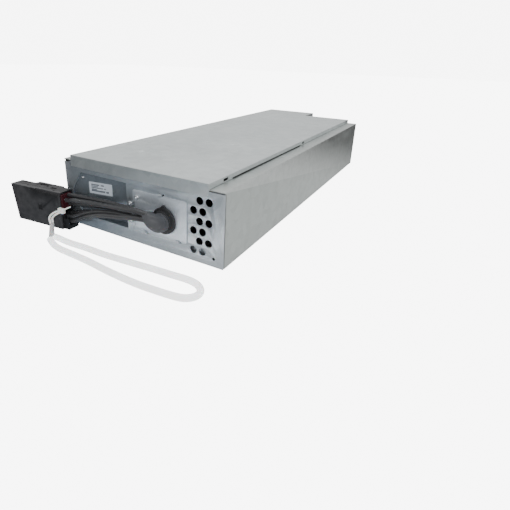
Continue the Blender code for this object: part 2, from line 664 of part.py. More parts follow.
def build_pocket(front):
    """The recess: a sheet that ramps back to the right, with a wall on its right and two cheeks."""
    start, back = BEHIND_PANEL, BEHIND_PANEL + POCKET_SHEET
    wall = POCKET_RIGHT + POCKET_SHEET
    deep = POCKET_DEPTH + POCKET_SHEET
    low, high = POCKET_BOTTOM - POCKET_SHEET, POCKET_TOP + POCKET_SHEET
    profile = [
        (POCKET_LEFT - POCKET_FLANGE, start), (POCKET_RAMP_START, start), (POCKET_RIGHT, POCKET_DEPTH),
        (POCKET_RIGHT, start), (wall + POCKET_FLANGE - POCKET_SHEET, start),
        (wall + POCKET_FLANGE - POCKET_SHEET, back), (wall, back), (wall, deep),
        (POCKET_RIGHT, deep), (POCKET_RAMP_START, back), (POCKET_LEFT - POCKET_FLANGE, back),
    ]
    pocket = piece("lead_pocket", slab("lead_pocket", profile, low, high), front, ZINC)
    cheek = [(POCKET_RAMP_START, start), (wall, start), (wall, deep), (POCKET_RIGHT, deep),
             (POCKET_RAMP_START, back)]
    join(pocket, "upper_cheek", slab("upper_cheek", cheek, POCKET_TOP, high))
    join(pocket, "lower_cheek", slab("lower_cheek", cheek, low, POCKET_BOTTOM))
    angle = math.atan2(POCKET_DEPTH - BEHIND_PANEL, POCKET_RIGHT - POCKET_RAMP_START)
    wide, tall, thick = LABEL_SIZE
    span = ((-wide / 2, wide / 2), (-thick - FIT_GAP, -FIT_GAP), (-tall / 2, tall / 2))
    label = piece("front_label", boxes("front_label", span), front, PAPER)
    x, z = LABEL_PLACE
    label.location = (x, ramp_depth(x), z)
    label.rotation_euler.z = angle
    x, z = RIVET_PLACE
    radius = RIVET_RADIUS
    dome = [(0, radius * 0.6), (radius * 0.6, radius * 0.5), (radius, radius * 0.15), (radius, FIT_GAP),
            (0, FIT_GAP)]
    rivet = turned("pocket_rivet", dome, front, (x, ramp_depth(x), z), SCREW, 12)
    rivet.rotation_euler.z = angle
    return pocket


def rounded_rectangle(left, right, bottom, top, radius, steps=4):
    """A rectangle's outline with round corners."""
    corners = ((right, top, 0), (left, top, 1), (left, bottom, 2), (right, bottom, 3))
    outline = []
    for x, z, quarter in corners:
        centre = (x - math.copysign(radius, x - (left + right) / 2),
                  z - math.copysign(radius, z - (bottom + top) / 2))
        for i in range(steps + 1):
            a = math.pi / 2 * (quarter + i / steps)
            outline.append((centre[0] + radius * math.cos(a), centre[1] + radius * math.sin(a)))
    return outline


def build_gland_plate(front):
    """The plate that carries the gland, held by three hooks and a screw."""
    outline = rounded_rectangle(PLATE_LEFT, PLATE_RIGHT, PLATE_BOTTOM, PLATE_TOP, PLATE_CORNER)
    plate = piece("gland_plate", slab("gland_plate", outline, PLATE_FRONT, PLATE_BACK, "Y"), front, ZINC)
    through = (PLATE_FRONT - SHEET, PLATE_BACK + SHEET)
    cut(plate, "gland_hole", cylinders("gland_hole", [(GLAND_X, GLAND_Z)], GLAND_NECK + FIT_GAP, *through,
                                       segments=24))
    cut(plate, "screw_hole", cylinders("screw_hole", [PLATE_SCREW], SCREW_SHANK / 2 + FIT_GAP, *through,
                                       segments=12))
    wide, tall = NOTCH
    notches = [
        ((PLATE_LEFT - wide, PLATE_LEFT + wide), through, (z - tall / 2, z + tall / 2))
        for x, z in PANEL_SCREWS.values()
        if PLATE_LEFT - x < 2 * SCREW_HEAD
    ]
    cut(plate, "notches", boxes("notches", *notches))
    x, z = PLATE_SCREW
    build_screw("plate_screw", front, (x, PLATE_FRONT - FIT_GAP, z))
    return plate


def build_gland(front):
    """The rubber gland: a neck through plate and panel, a bead behind, a flange and a hub in front."""
    back = BEHIND_PANEL + GLAND_BEAD_THICKNESS
    profile = [
        (0, -HUB_FRONT), (GLAND_HUB - SHEET, -HUB_FRONT), (GLAND_HUB, -HUB_FRONT - SHEET),
        (GLAND_HUB, -FLANGE_FRONT), (GLAND_FLANGE - SHEET, -FLANGE_FRONT),
        (GLAND_FLANGE, -FLANGE_FRONT - SHEET), (GLAND_FLANGE, -FLANGE_BACK), (GLAND_NECK, -FLANGE_BACK),
        (GLAND_NECK, -BEHIND_PANEL), (GLAND_BEAD, -BEHIND_PANEL), (GLAND_BEAD, -back), (0, -back),
    ]
    gland = turned("cable_gland", profile, front, (GLAND_X, 0, GLAND_Z), RUBBER, 28)
    half, high = GLAND_TAB
    foot = GLAND_Z + GLAND_FLANGE * 0.9
    tab = [(GLAND_X - half, foot), (GLAND_X + half, foot), (GLAND_X + half * 0.25, foot + high),
           (GLAND_X - half * 0.25, foot + high)]
    inset = GLAND_FLANGE_THICKNESS * 0.1
    join(gland, "tab", slab("tab", tab, FLANGE_FRONT + inset, FLANGE_BACK - inset, "Y"), front)
    return gland


# The boot's sections: middle, half width, half height, turn and roll in degrees, and squareness.
BOOT_SECTIONS = (
    ((GLAND_X, HUB_FRONT - FIT_GAP, GLAND_Z), 0.0100, 0.0100, 0, 0, 2.0),
    ((0.0386, -0.0101, 0.0361), 0.0099, 0.0099, 13, 3, 2.0),
    ((0.0374, -0.0140, 0.0371), 0.0095, 0.0095, 37, 9, 2.2),
    ((0.0346, -0.0165, 0.0387), 0.0092, 0.0088, 60, 15, 2.4),
    ((0.0317, -0.0174, 0.0406), 0.0090, 0.0078, 78, 20, 2.7),
    ((0.0292, -0.0165, 0.0425), 0.0088, 0.0067, 90, 22.8, 3.0),
)
BOOT_SIDES = 20


def boot_axes(turn, roll):
    """The directions of a section's width and height."""
    turn, roll = math.radians(turn), math.radians(roll)
    level = Vector((math.cos(turn), -math.sin(turn), 0))
    up = Vector((0, 0, 1))
    return (level * math.cos(roll) + up * math.sin(roll), up * math.cos(roll) - level * math.sin(roll))


def build_boot(front):
    """The sleeve that turns the leads from the gland to the left."""
    rings = []
    for centre, half_width, half_height, turn, roll, squareness in BOOT_SECTIONS:
        across, up = boot_axes(turn, roll)
        ring = []
        for i in range(BOOT_SIDES):
            a = 2 * math.pi * i / BOOT_SIDES
            wide = math.copysign(abs(math.cos(a)) ** (2 / squareness), math.cos(a))
            tall = math.copysign(abs(math.sin(a)) ** (2 / squareness), math.sin(a))
            ring.append(Vector(centre) + across * half_width * wide + up * half_height * tall)
        rings.append(ring)
    mesh = loft("cable_boot", rings)
    mesh.shade_smooth()
    mesh.set_sharp_from_angle(angle=math.radians(50))
    return piece("cable_boot", mesh, front, SLEEVE)


def connector_point(along, across, height):
    """A place in the connector's own frame, seen from the front face's."""
    x, y = CONNECTOR_PLACE
    c, s = math.cos(CONNECTOR_TURN), math.sin(CONNECTOR_TURN)
    return Vector((x + along * c - across * s, y + along * s + across * c, height))


def lead_route(name):
    """A lead's whole route: straight out of the connector, along its points, straight into the boot."""
    (across, height), (wide, tall) = LEAD_ENDS[name]
    end = HOUSING_START + HOUSING_LENGTH
    first = connector_point(end + 2 * FIT_GAP, across, height)
    second = connector_point(end + 2 * FIT_GAP + LEAD_DIAMETER * 0.8, across, height)
    centre, _, _, turn, roll, _ = BOOT_SECTIONS[-1]
    mouth_wide, mouth_tall = boot_axes(turn, roll)
    last = Vector(centre) - mouth_wide * wide + mouth_tall * tall - Vector((1.5 * FIT_GAP, 0, 0))
    before = last - Vector((LEAD_DIAMETER * 0.8, 0, 0))
    return [first, second, *LEAD_MIDDLES[name], before, last]


def build_leads(front):
    """The six leads from the connector to the boot."""
    for name in LEAD_MIDDLES:
        piece(name, cord_curve(name, lead_route(name), LEAD_DIAMETER, 1.2 * LEAD_DIAMETER), front, LEAD)


def build_connector(front):
    """The two shells, the two contact housings, their contacts and the screw that clamps them."""
    frame = empty("connector_frame", (*CONNECTOR_PLACE, 0), front, CONNECTOR_TURN)
    far_mating = NEAR_THICKNESS + FAR_THICKNESS
    far_back = NEAR_THICKNESS + FAR_THICKNESS_BACK
    start = PARTING + FIT_GAP / 2
    near_span = ((-SHELL_SLANT, SHELL_LENGTH), (0, PARTING - FIT_GAP / 2), (0, SHELL_HEIGHT))
    near = piece("connector_shell_near", boxes("near", near_span), frame, SHELL)
    hump = NEAR_THICKNESS + FAR_THICKNESS_HUMP
    plan = [
        (-SHELL_SLANT, start), (SHELL_LENGTH, start), (SHELL_LENGTH, far_back),
        (HUMP_END + SHELL_WALL, far_back),
        (HUMP_END, hump), (HUMP_START + SHELL_WALL, hump), (HUMP_START, far_mating),
        (-SHELL_SLANT, far_mating),
    ]
    far = piece("connector_shell_far", slab("far", plan, 0, SHELL_HEIGHT), frame, SHELL)
    slope = SHELL_SLANT / SHELL_HEIGHT
    over = SHELL_HEIGHT + SHELL_WALL
    corner = [
        (SHELL_WALL * slope, -SHELL_WALL), (-over * slope, over), (-2 * SHELL_SLANT - SHELL_WALL, over),
        (-2 * SHELL_SLANT - SHELL_WALL, -SHELL_WALL),
    ]
    for shell in (near, far):
        cut(shell, "slant", slab("slant", corner, -SHELL_WALL, far_back + SHELL_WALL, "Y"))
    low, high = -SHELL_SLANT - SHELL_WALL, SHELL_LENGTH + SHELL_WALL
    inside = (SHELL_WALL, SHELL_HEIGHT - SHELL_WALL)
    cut(near, "cavity", boxes("cavity", ((low, high), (CAVITY_NEAR, PARTING + SHELL_WALL), inside)))
    behind = HUMP_START + 2 * SHELL_WALL
    cavity = [
        (low, 0), (high, 0), (high, CAVITY_FAR), (behind, CAVITY_FAR),
        (behind - SHELL_WALL, CAVITY_FAR_MATING), (low, CAVITY_FAR_MATING),
    ]
    cut(far, "cavity", slab("cavity", cavity, *inside))
    centre = [CONNECTOR_SCREW_PLACE]
    for shell in (near, far):
        cut(shell, "screw_hole", cylinders("screw_hole", centre, SCREW_SHANK / 2 + FIT_GAP, -SHELL_WALL,
                                           far_back + SHELL_WALL, segments=12))
    recess = cylinders("recess", centre, SCREW_HEAD / 2 + FIT_GAP, -SHELL_WALL, SHELL_WALL / 2, segments=16)
    cut(near, "screw_recess", recess)
    build_housings(frame)
    seat = (CONNECTOR_SCREW_PLACE[0], SHELL_WALL / 2 - FIT_GAP, CONNECTOR_SCREW_PLACE[1])
    head, shank = SCREW_HEAD / 2, SCREW_SHANK / 2
    length = far_mating - SHELL_WALL
    profile = [(0, 0.0004), (head * 0.8, 0.0004), (head, 0), (shank, 0), (shank, -length), (0, -length)]
    turned("connector_screw", profile, frame, seat, BLACK, 16)
    return frame


def build_housings(frame):
    """The contact housings lie in the shells' cavity, one over the other, with sockets at the mating end."""
    sides = {"negative": (LOWER_HOUSING, BLACK), "positive": (UPPER_HOUSING, RED)}
    near_face = CAVITY_NEAR + FIT_GAP
    far_face = CAVITY_FAR_MATING - FIT_GAP
    back_face = CAVITY_FAR - FIT_GAP
    end = HOUSING_START + HOUSING_LENGTH
    for side, (low, finish) in sides.items():
        high = low + HOUSING_HEIGHT - (SHELL_WALL + FIT_GAP - LOWER_HOUSING)
        name = f"{side}_contact_housing"
        housing = piece(
            name, boxes(name, ((HOUSING_START, end), (near_face, far_face), (low, high))), frame, finish
        )
        step = HUMP_START + 2 * SHELL_WALL + FIT_GAP
        join(housing, "back", boxes("back", ((step, end), (far_face - SHELL_WALL, back_face), (low, high))))
        mouth = (near_face + SOCKET_WALL, far_face - SOCKET_WALL)
        tall = (low + SOCKET_WALL, high - SOCKET_WALL)
        socket = ((0, HOUSING_START + SOCKET_DEPTH), mouth, tall)
        cut(housing, "socket", boxes("socket", socket))
        middle = (low + high) / 2
        contact = (
            (HOUSING_START + 0.002, HOUSING_START + SOCKET_DEPTH - FIT_GAP),
            (mouth[1] - CONTACT_THICKNESS - FIT_GAP, mouth[1] - FIT_GAP),
            (middle - 0.005, middle + 0.005),
        )
        piece(f"{side}_contact", boxes(f"{side}_contact", contact), frame, COPPER)
        if side == "negative":
            long, thick, tall = LUG_SIZE
            start = end - SHELL_WALL
            lug = ((start, start + long), (near_face + FIT_GAP, near_face + thick), (low + FIT_GAP, tall))
            join(housing, "lug", boxes("lug", lug))
            back, tall = LUG_FLOOR
            run = (near_face + FIT_GAP, near_face + back)
            floor = ((SHELL_LENGTH + FIT_GAP, start + long), run, (0, tall))
            join(housing, "lug_floor", boxes("lug_floor", floor))


def build_loop(front):
    """The cable tie on the connector, and the tube that swings below its collar."""
    tie = piece("cable_tie", boxes("cable_tie", TIE_HEAD), front, NYLON)
    for i, route in enumerate(TIE_STRANDS):
        join(tie, f"strand_{i}", cord_mesh("strand", route, 0.0018, 0.003))
    join(tie, "tail", cord_mesh("tail", TIE_TAIL, 0.0022, 0.003))

    pivot = empty("loop_pivot", LOOP_PIVOT, front)
    across = Vector((math.cos(COLLAR_TURN), math.sin(COLLAR_TURN), 0))
    along = Vector((-math.sin(COLLAR_TURN), math.cos(COLLAR_TURN), 0))
    rings = []
    for centre, size in ((COLLAR_BOTTOM, COLLAR_BOTTOM_SIZE), (COLLAR_TOP, COLLAR_TOP_SIZE)):
        angles = [2 * math.pi * i / 16 for i in range(16)]
        middle = Vector(centre) - Vector(LOOP_PIVOT)
        rings.append([
            middle + across * size[0] * math.cos(a) + along * size[1] * math.sin(a) for a in angles
        ])
    mesh = loft("loop_collar", rings)
    mesh.shade_smooth()
    mesh.set_sharp_from_angle(angle=math.radians(50))
    piece("loop_collar", mesh, pivot, NYLON)
    route = [Vector(p) - Vector(LOOP_PIVOT) for p in LOOP_ROUTE]
    piece("pull_loop", cord_curve("pull_loop", route, TUBE_DIAMETER, TUBE_DIAMETER), pivot, VINYL)


def block_starts():
    """Each battery's front depth and the side that it lies on: the left row, then the right row."""
    left = [(BLOCK_FRONT + i * BLOCK_PITCH, -1) for i in range(BLOCKS_LEFT)]
    right = [(RIGHT_FRONT + i * BLOCK_PITCH, 1) for i in range(BLOCKS_RIGHT)]
    return left + right


def build_batteries(front):
    """Sealed blocks on their sides, terminals to the middle, linked in series along each row."""
    outer = HALF - SHEET - FIT_GAP
    for i, (start, side) in enumerate(block_starts(), 1):
        across = sorted((side * BLOCK_INNER, side * outer))
        span = (across, (start, start + BLOCK_LENGTH), (BLOCK_BOTTOM, BLOCK_BOTTOM + BLOCK_THICKNESS))
        name = f"battery_block_{i:02d}"
        block = piece(name, boxes(name, span), front, CASE_PLASTIC)
        bevel(block, 0.0015)
        wide, long, thick = TAB_SIZE
        reach = sorted((side * (BLOCK_INNER - wide), side * (BLOCK_INNER + SHEET)))
        tabs = [
            (reach, (y - long / 2, y + long / 2), (TAB_LEVEL, TAB_LEVEL + thick))
            for y in (start + TAB_INSET, start + BLOCK_LENGTH - TAB_INSET)
        ]
        join(block, "tabs", boxes("tabs", *tabs))
    for row, (first, count, side) in {
        "left": (BLOCK_FRONT, BLOCKS_LEFT, -1), "right": (RIGHT_FRONT, BLOCKS_RIGHT, 1)
    }.items():
        for i in range(count - 1):
            low = first + i * BLOCK_PITCH + BLOCK_LENGTH - TAB_INSET - TAB_SIZE[1] / 2
            high = first + (i + 1) * BLOCK_PITCH + TAB_INSET + TAB_SIZE[1] / 2
            name = f"link_{row}_{i + 1}"
            piece(name, boxes(name, link_span(side, low, high)), front, LEAD_TIN)


def link_span(side, low, high):
    """A flat link that lies on the tabs of two blocks."""
    near = sorted((side * (BLOCK_INNER - FIT_GAP), side * (BLOCK_INNER - TAB_SIZE[0])))
    level = TAB_LEVEL + TAB_SIZE[2] + FIT_GAP
    return (near, (low, high), (level, level + LINK_THICKNESS))


def build_inside(front):
    """What holds and insulates the batteries, and the fuse in the wiring bay."""
    middle = ((-INSULATOR / 2, INSULATOR / 2), (RIGHT_FRONT, TRAY_SHORT_END - TRAY_RIM_BACK),
              (BLOCK_BOTTOM, BLOCK_BOTTOM + BLOCK_THICKNESS))
    piece("centre_insulator", boxes("centre_insulator", middle), front, FISH_PAPER)
    pad_bottom = BLOCK_BOTTOM + BLOCK_THICKNESS + FIT_GAP
    outer = HALF - SHEET - FIT_GAP
    pads = {
        "foam_left": ((-outer, -BLOCK_INNER), (BLOCK_FRONT, BLOCK_FRONT + BLOCKS_LEFT * BLOCK_PITCH)),
        "foam_right": ((BLOCK_INNER, outer), (RIGHT_FRONT, RIGHT_FRONT + BLOCKS_RIGHT * BLOCK_PITCH)),
    }
    for name, (x, y) in pads.items():
        inset = (y[0] + BLOCK_GAP, y[1] - SCREW_LENGTH - 2 * SHEET)
        piece(name, boxes(name, (x, inset, (pad_bottom, pad_bottom + FOAM))), front, FOAM_GREY)
    wall = RIGHT_FRONT - FIT_GAP
    floor = SHEET + FIT_GAP
    bracket = piece(
        "block_retainer",
        boxes("block_retainer", ((BLOCK_INNER, outer), (wall - SHEET, wall), (floor, 0.060))), front, ZINC,
    )
    foot = ((BLOCK_INNER, outer), (wall - 0.016, wall - SHEET / 2), (floor, floor + SHEET))
    join(bracket, "foot", boxes("foot", foot))
    base = piece(
        "fuse_holder", boxes("fuse_holder", ((0.042, 0.062), (0.051, 0.113), (floor, floor + 0.007))), front,
        BLACK,
    )
    ends = boxes("ends", ((0.044, 0.060), (0.051, 0.059), (0.006, 0.022)),
                 ((0.044, 0.060), (0.105, 0.113), (0.006, 0.022)))
    join(base, "ends", ends)
    fuse = cylinders("fuse", [(0.052, 0.0160)], 0.0058, 0.059 + FIT_GAP, 0.105 - FIT_GAP, segments=16)
    piece("fuse", fuse, front, FUSE_BODY)
    for name, route in INNER_LEADS.items():
        piece(name, cord_curve(name, route, LEAD_DIAMETER, 2.5 * LEAD_DIAMETER), front, LEAD)


def clear_scene():
    """Removes whatever the scene holds."""
    for old in list(bpy.data.objects):
        bpy.data.objects.remove(old)


clear_scene()
CARTRIDGE = collection("battery_cartridge")
CUTTERS = collection("cutters")
front_face = empty("front_face", (0, FRONT, 0))
build_tray(front_face)
build_cover(front_face)
build_panel(front_face)
build_pocket(front_face)
build_gland_plate(front_face)
build_gland(front_face)
build_boot(front_face)
build_leads(front_face)
build_connector(front_face)
build_loop(front_face)
build_batteries(front_face)
build_inside(front_face)
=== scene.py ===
"""The finished look of a rack battery cartridge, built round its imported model.

Every piece is placed in the row frame, in metres, +Z up, with the front facing -Y. A depth is the
distance behind the front panel's face.
"""

import json
import logging
import math
from collections.abc import Callable, Iterable, Sequence
from dataclasses import dataclass, field
from enum import Enum

import bmesh
import bpy
from mathutils import Matrix, Vector
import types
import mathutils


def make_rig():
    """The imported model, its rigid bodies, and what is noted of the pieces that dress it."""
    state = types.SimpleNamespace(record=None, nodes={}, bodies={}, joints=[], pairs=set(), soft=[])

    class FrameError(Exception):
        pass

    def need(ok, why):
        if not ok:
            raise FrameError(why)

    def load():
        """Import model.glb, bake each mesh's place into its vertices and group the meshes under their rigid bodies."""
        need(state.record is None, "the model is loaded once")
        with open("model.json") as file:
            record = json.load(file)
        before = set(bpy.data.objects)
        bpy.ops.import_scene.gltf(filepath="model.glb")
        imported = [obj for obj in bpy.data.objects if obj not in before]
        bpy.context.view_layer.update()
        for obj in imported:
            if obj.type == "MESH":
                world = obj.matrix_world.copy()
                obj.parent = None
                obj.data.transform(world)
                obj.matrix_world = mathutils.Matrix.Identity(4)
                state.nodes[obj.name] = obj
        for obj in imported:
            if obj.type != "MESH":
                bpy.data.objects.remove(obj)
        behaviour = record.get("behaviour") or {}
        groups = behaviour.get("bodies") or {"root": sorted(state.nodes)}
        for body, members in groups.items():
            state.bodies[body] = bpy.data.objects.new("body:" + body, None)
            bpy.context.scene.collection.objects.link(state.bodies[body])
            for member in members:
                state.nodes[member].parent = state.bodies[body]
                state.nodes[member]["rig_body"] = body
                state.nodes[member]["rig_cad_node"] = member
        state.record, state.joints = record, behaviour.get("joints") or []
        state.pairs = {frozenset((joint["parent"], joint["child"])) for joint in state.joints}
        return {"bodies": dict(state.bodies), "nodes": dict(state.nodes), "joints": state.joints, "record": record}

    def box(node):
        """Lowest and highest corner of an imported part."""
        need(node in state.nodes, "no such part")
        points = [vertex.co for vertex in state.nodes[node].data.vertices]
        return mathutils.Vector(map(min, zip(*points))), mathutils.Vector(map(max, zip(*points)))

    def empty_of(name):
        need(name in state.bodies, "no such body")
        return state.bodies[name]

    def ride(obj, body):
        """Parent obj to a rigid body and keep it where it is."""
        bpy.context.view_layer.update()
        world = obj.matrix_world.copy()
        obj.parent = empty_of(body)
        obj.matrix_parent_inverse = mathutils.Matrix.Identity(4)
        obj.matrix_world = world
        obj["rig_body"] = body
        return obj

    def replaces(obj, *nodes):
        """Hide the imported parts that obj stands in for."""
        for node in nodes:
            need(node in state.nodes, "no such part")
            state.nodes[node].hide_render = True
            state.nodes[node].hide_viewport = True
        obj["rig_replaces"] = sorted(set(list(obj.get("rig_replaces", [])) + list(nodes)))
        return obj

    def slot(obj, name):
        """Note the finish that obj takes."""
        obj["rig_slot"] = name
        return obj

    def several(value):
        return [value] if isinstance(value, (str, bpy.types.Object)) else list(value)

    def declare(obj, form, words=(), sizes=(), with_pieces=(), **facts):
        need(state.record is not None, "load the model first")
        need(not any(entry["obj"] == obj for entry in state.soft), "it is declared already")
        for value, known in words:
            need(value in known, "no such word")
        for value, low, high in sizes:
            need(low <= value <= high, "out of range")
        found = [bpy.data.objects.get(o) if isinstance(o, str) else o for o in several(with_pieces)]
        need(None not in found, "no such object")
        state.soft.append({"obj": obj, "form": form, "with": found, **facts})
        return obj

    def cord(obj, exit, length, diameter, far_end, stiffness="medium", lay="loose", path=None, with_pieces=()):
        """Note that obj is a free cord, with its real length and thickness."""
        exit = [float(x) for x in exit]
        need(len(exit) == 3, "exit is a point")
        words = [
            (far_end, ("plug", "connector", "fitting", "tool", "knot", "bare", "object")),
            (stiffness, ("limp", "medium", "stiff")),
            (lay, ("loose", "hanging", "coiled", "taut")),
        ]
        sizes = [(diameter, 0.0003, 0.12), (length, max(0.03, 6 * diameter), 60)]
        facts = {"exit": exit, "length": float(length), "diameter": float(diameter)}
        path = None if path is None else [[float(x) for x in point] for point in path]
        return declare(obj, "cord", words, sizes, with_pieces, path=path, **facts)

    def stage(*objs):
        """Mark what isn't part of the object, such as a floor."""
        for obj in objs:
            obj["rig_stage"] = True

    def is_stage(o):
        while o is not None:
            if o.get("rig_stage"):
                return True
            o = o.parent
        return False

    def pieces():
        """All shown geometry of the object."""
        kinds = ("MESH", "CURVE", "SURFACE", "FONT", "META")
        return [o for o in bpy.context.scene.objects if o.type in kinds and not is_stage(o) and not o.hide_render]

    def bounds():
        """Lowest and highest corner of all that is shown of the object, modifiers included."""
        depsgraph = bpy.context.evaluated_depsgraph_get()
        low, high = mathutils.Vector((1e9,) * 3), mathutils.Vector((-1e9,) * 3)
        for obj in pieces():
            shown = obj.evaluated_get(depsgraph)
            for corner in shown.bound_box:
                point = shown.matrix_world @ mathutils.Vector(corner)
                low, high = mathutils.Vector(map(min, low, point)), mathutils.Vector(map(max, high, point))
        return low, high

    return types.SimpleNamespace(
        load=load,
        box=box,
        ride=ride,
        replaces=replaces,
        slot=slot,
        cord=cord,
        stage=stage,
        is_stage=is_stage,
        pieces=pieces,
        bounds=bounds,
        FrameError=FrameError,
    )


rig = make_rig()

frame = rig.load()
CAD_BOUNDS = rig.bounds()

LOG = logging.getLogger("cartridge")
SIZE_FILE = "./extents.json"
ROOT = "cartridge"
LOOP = "loop"
FIT_GAP = 0.0003
MERGE_DISTANCE = 2e-6
SHARP_ANGLE = 35.0
PAN_HEIGHT = 0.0016
FLOOR_GLOW = 9.0
SKY_LIGHT = 0.85
FRONT_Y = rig.box("gland_plate")[1].y + FIT_GAP

Pair = tuple[float, float]
Point = tuple[float, float, float]
Colour = Point
Outline = list[Pair]
Obj = bpy.types.Object
Shape = bmesh.types.BMesh
Node = bpy.types.Node
Socket = bpy.types.NodeSocket
Inputs = dict[str | int, object]
Cord = tuple[Obj, list[Vector]]


def at(x: float, depth: float, z: float) -> Vector:
    """A place given by its depth behind the front panel's face."""
    return Vector((x, FRONT_Y + depth, z))


# ---------------------------------------------------------------------------------------------
# Shader node groups and finishes


class Tree:
    """A node tree with short calls for adding nodes."""

    def __init__(self, tree: bpy.types.NodeTree) -> None:
        """Keeps a material's or a group's tree and empties it."""
        self.tree = tree
        tree.nodes.clear()

    def add(self, kind: str, inputs: Inputs | None = None, **settings: object) -> Node:
        """Adds a node.

        Args:
            kind: the node's type name without its ShaderNode part, or a whole type name.
            inputs: what each input takes, by its name or number: a socket to join, or a value.
            **settings: attributes of the node.

        Returns:
            The node.
        """
        node = self.tree.nodes.new(kind if kind.startswith("Node") else f"ShaderNode{kind}")
        for name, value in settings.items():
            setattr(node, name, value)
        for key, value in (inputs or {}).items():
            if isinstance(value, Socket):
                self.tree.links.new(value, node.inputs[key])
            else:
                node.inputs[key].default_value = value
        return node

    def maths(self, operation: str, first: object, second: object) -> Socket:
        """A Math node's result, from two sockets or numbers."""
        return self.add("Math", {0: first, 1: second}, operation=operation).outputs[0]

    def weighted(self, *parts: tuple[Socket, float]) -> Socket:
        """The sum of sockets, each times its weight."""
        total, *rest = [self.maths("MULTIPLY", socket, weight) for socket, weight in parts]
        for part in rest:
            total = self.maths("ADD", total, part)
        return total

    def noise(self, vector: Socket, scale: Socket, detail: float) -> Socket:
        """A Noise node's value, from 0 to 1, with so many finer octaves."""
        return self.add("TexNoise", {"Vector": vector, "Scale": scale, "Detail": detail}).outputs["Fac"]

    def ramp(self, mask: Socket, *stops: tuple[float, Colour]) -> Socket:
        """The colour between stops.

        Args:
            mask: where on the ramp it is read.
            *stops: the places and colours of the ramp's ends, then of any others.

        Returns:
            The colour.
        """
        node = self.add("ValToRGB", {"Fac": mask})
        elements = node.color_ramp.elements
        for element, (place, colour) in zip([*elements, *(elements.new(s[0]) for s in stops[2:])], stops):
            element.position = place
            element.color = (*colour, 1)
        return node.outputs["Color"]

    def map_range(self, value: Socket, source: Pair, target: Pair, **settings: object) -> Socket:
        """A value carried over from one range to another."""
        ends = dict(zip(("From Min", "From Max", "To Min", "To Max"), (*source, *target)))
        return self.add("MapRange", {"Value": value, **ends}, **settings).outputs[0]

    def mix_shaders(self, factor: Socket | float, first: Node, second: Node) -> Node:
        """A Mix Shader node, all second where the factor is 1."""
        return self.add("MixShader", {0: factor, 1: first.outputs[0], 2: second.outputs[0]})


def new_group(name: str, inputs: dict[str, float], outputs: Sequence[str]) -> tuple[Tree, Sequence[Socket]]:
    """Starts a shader node group with float sockets.

    Args:
        name: the group's name.
        inputs: the input sockets and their default values.
        outputs: the output sockets.

    Returns:
        The group's tree, and the sockets that carry its inputs.
    """
    group = bpy.data.node_groups.new(name, "ShaderNodeTree")
    for socket, value in inputs.items():
        made = group.interface.new_socket(socket, in_out="INPUT", socket_type="NodeSocketFloat")
        made.default_value = value
    for socket in outputs:
        group.interface.new_socket(socket, in_out="OUTPUT", socket_type="NodeSocketFloat")
    tree = Tree(group)
    return tree, tree.add("NodeGroupInput").outputs


class Surface(Enum):
    """The node groups that a finish takes its texture from, with their inputs and usual values."""

    ZINC = ("zinc_surface", {"Patch Scale": 90.0, "Smudge Scale": 9.0, "Line Scale": 700.0})
    MOULDED = ("moulded_surface", {"Grain Scale": 1800.0, "Mottle Scale": 60.0, "Stretch": 1.0})

    def start(self) -> tuple[Tree, Sequence[Socket]]:
        """Starts the node group, with Tone, Gloss and Height out."""
        return new_group(*self.value, ("Tone", "Gloss", "Height"))


def spangle_group() -> None:
    """Builds the crystal patches, smudges and rolling lines of zinc-coated sheet."""
    tree, entry = Surface.ZINC.start()
    place = tree.add("TexCoord").outputs["Object"]
    drawn_out = tree.add("Mapping", {"Vector": place, "Scale": (1.0, 0.06, 1.0)}).outputs["Vector"]
    cells = tree.add("TexVoronoi", {"Vector": place, "Scale": entry["Patch Scale"]}, feature="F1")
    patch = tree.add("SeparateColor", {"Color": cells.outputs["Color"]}).outputs
    smudge = tree.noise(place, entry["Smudge Scale"], 5.0)
    lines = tree.noise(drawn_out, entry["Line Scale"], 2.0)
    tree.add("NodeGroupOutput", {
        "Tone": tree.weighted((patch[0], 0.25), (smudge, 0.55), (lines, 0.2)),
        "Gloss": tree.weighted((smudge, 0.7), (patch[1], 0.3)),
        "Height": tree.weighted((lines, 1.0), (patch[0], 0.25)),
    })


def grain_group() -> None:
    """Builds the fine texture of moulded plastic, rubber and foam, with broad soft mottling."""
    tree, entry = Surface.MOULDED.start()
    stretch = tree.add("CombineXYZ", {0: entry["Stretch"], 1: 1.0, 2: 1.0}).outputs[0]
    place = tree.add("TexCoord").outputs["Object"]
    drawn_out = tree.add("Mapping", {"Vector": place, "Scale": stretch}).outputs["Vector"]
    grain = tree.noise(drawn_out, entry["Grain Scale"], 2.0)
    mottle = tree.noise(drawn_out, entry["Mottle Scale"], 4.0)
    tone = tree.weighted((mottle, 0.75), (grain, 0.25))
    tree.add("NodeGroupOutput", {"Tone": tone, "Gloss": mottle, "Height": grain})


def wear_group() -> None:
    """Builds the mask of where an edge is rubbed bright: outward edges, broken up by noise."""
    tree, entry = new_group("edge_wear", {"Reach": 0.55, "Break Scale": 140.0}, ("Wear",))
    edge = tree.add("NewGeometry").outputs["Pointiness"]
    above = tree.maths("SUBTRACT", edge, entry["Reach"])
    steep = tree.add("Math", {0: above, 1: 9.0}, operation="MULTIPLY", use_clamp=True).outputs[0]
    breaks = tree.noise(tree.add("TexCoord").outputs["Object"], entry["Break Scale"], 4.0)
    tree.add("NodeGroupOutput", {"Wear": tree.maths("MULTIPLY", steep, breaks)})


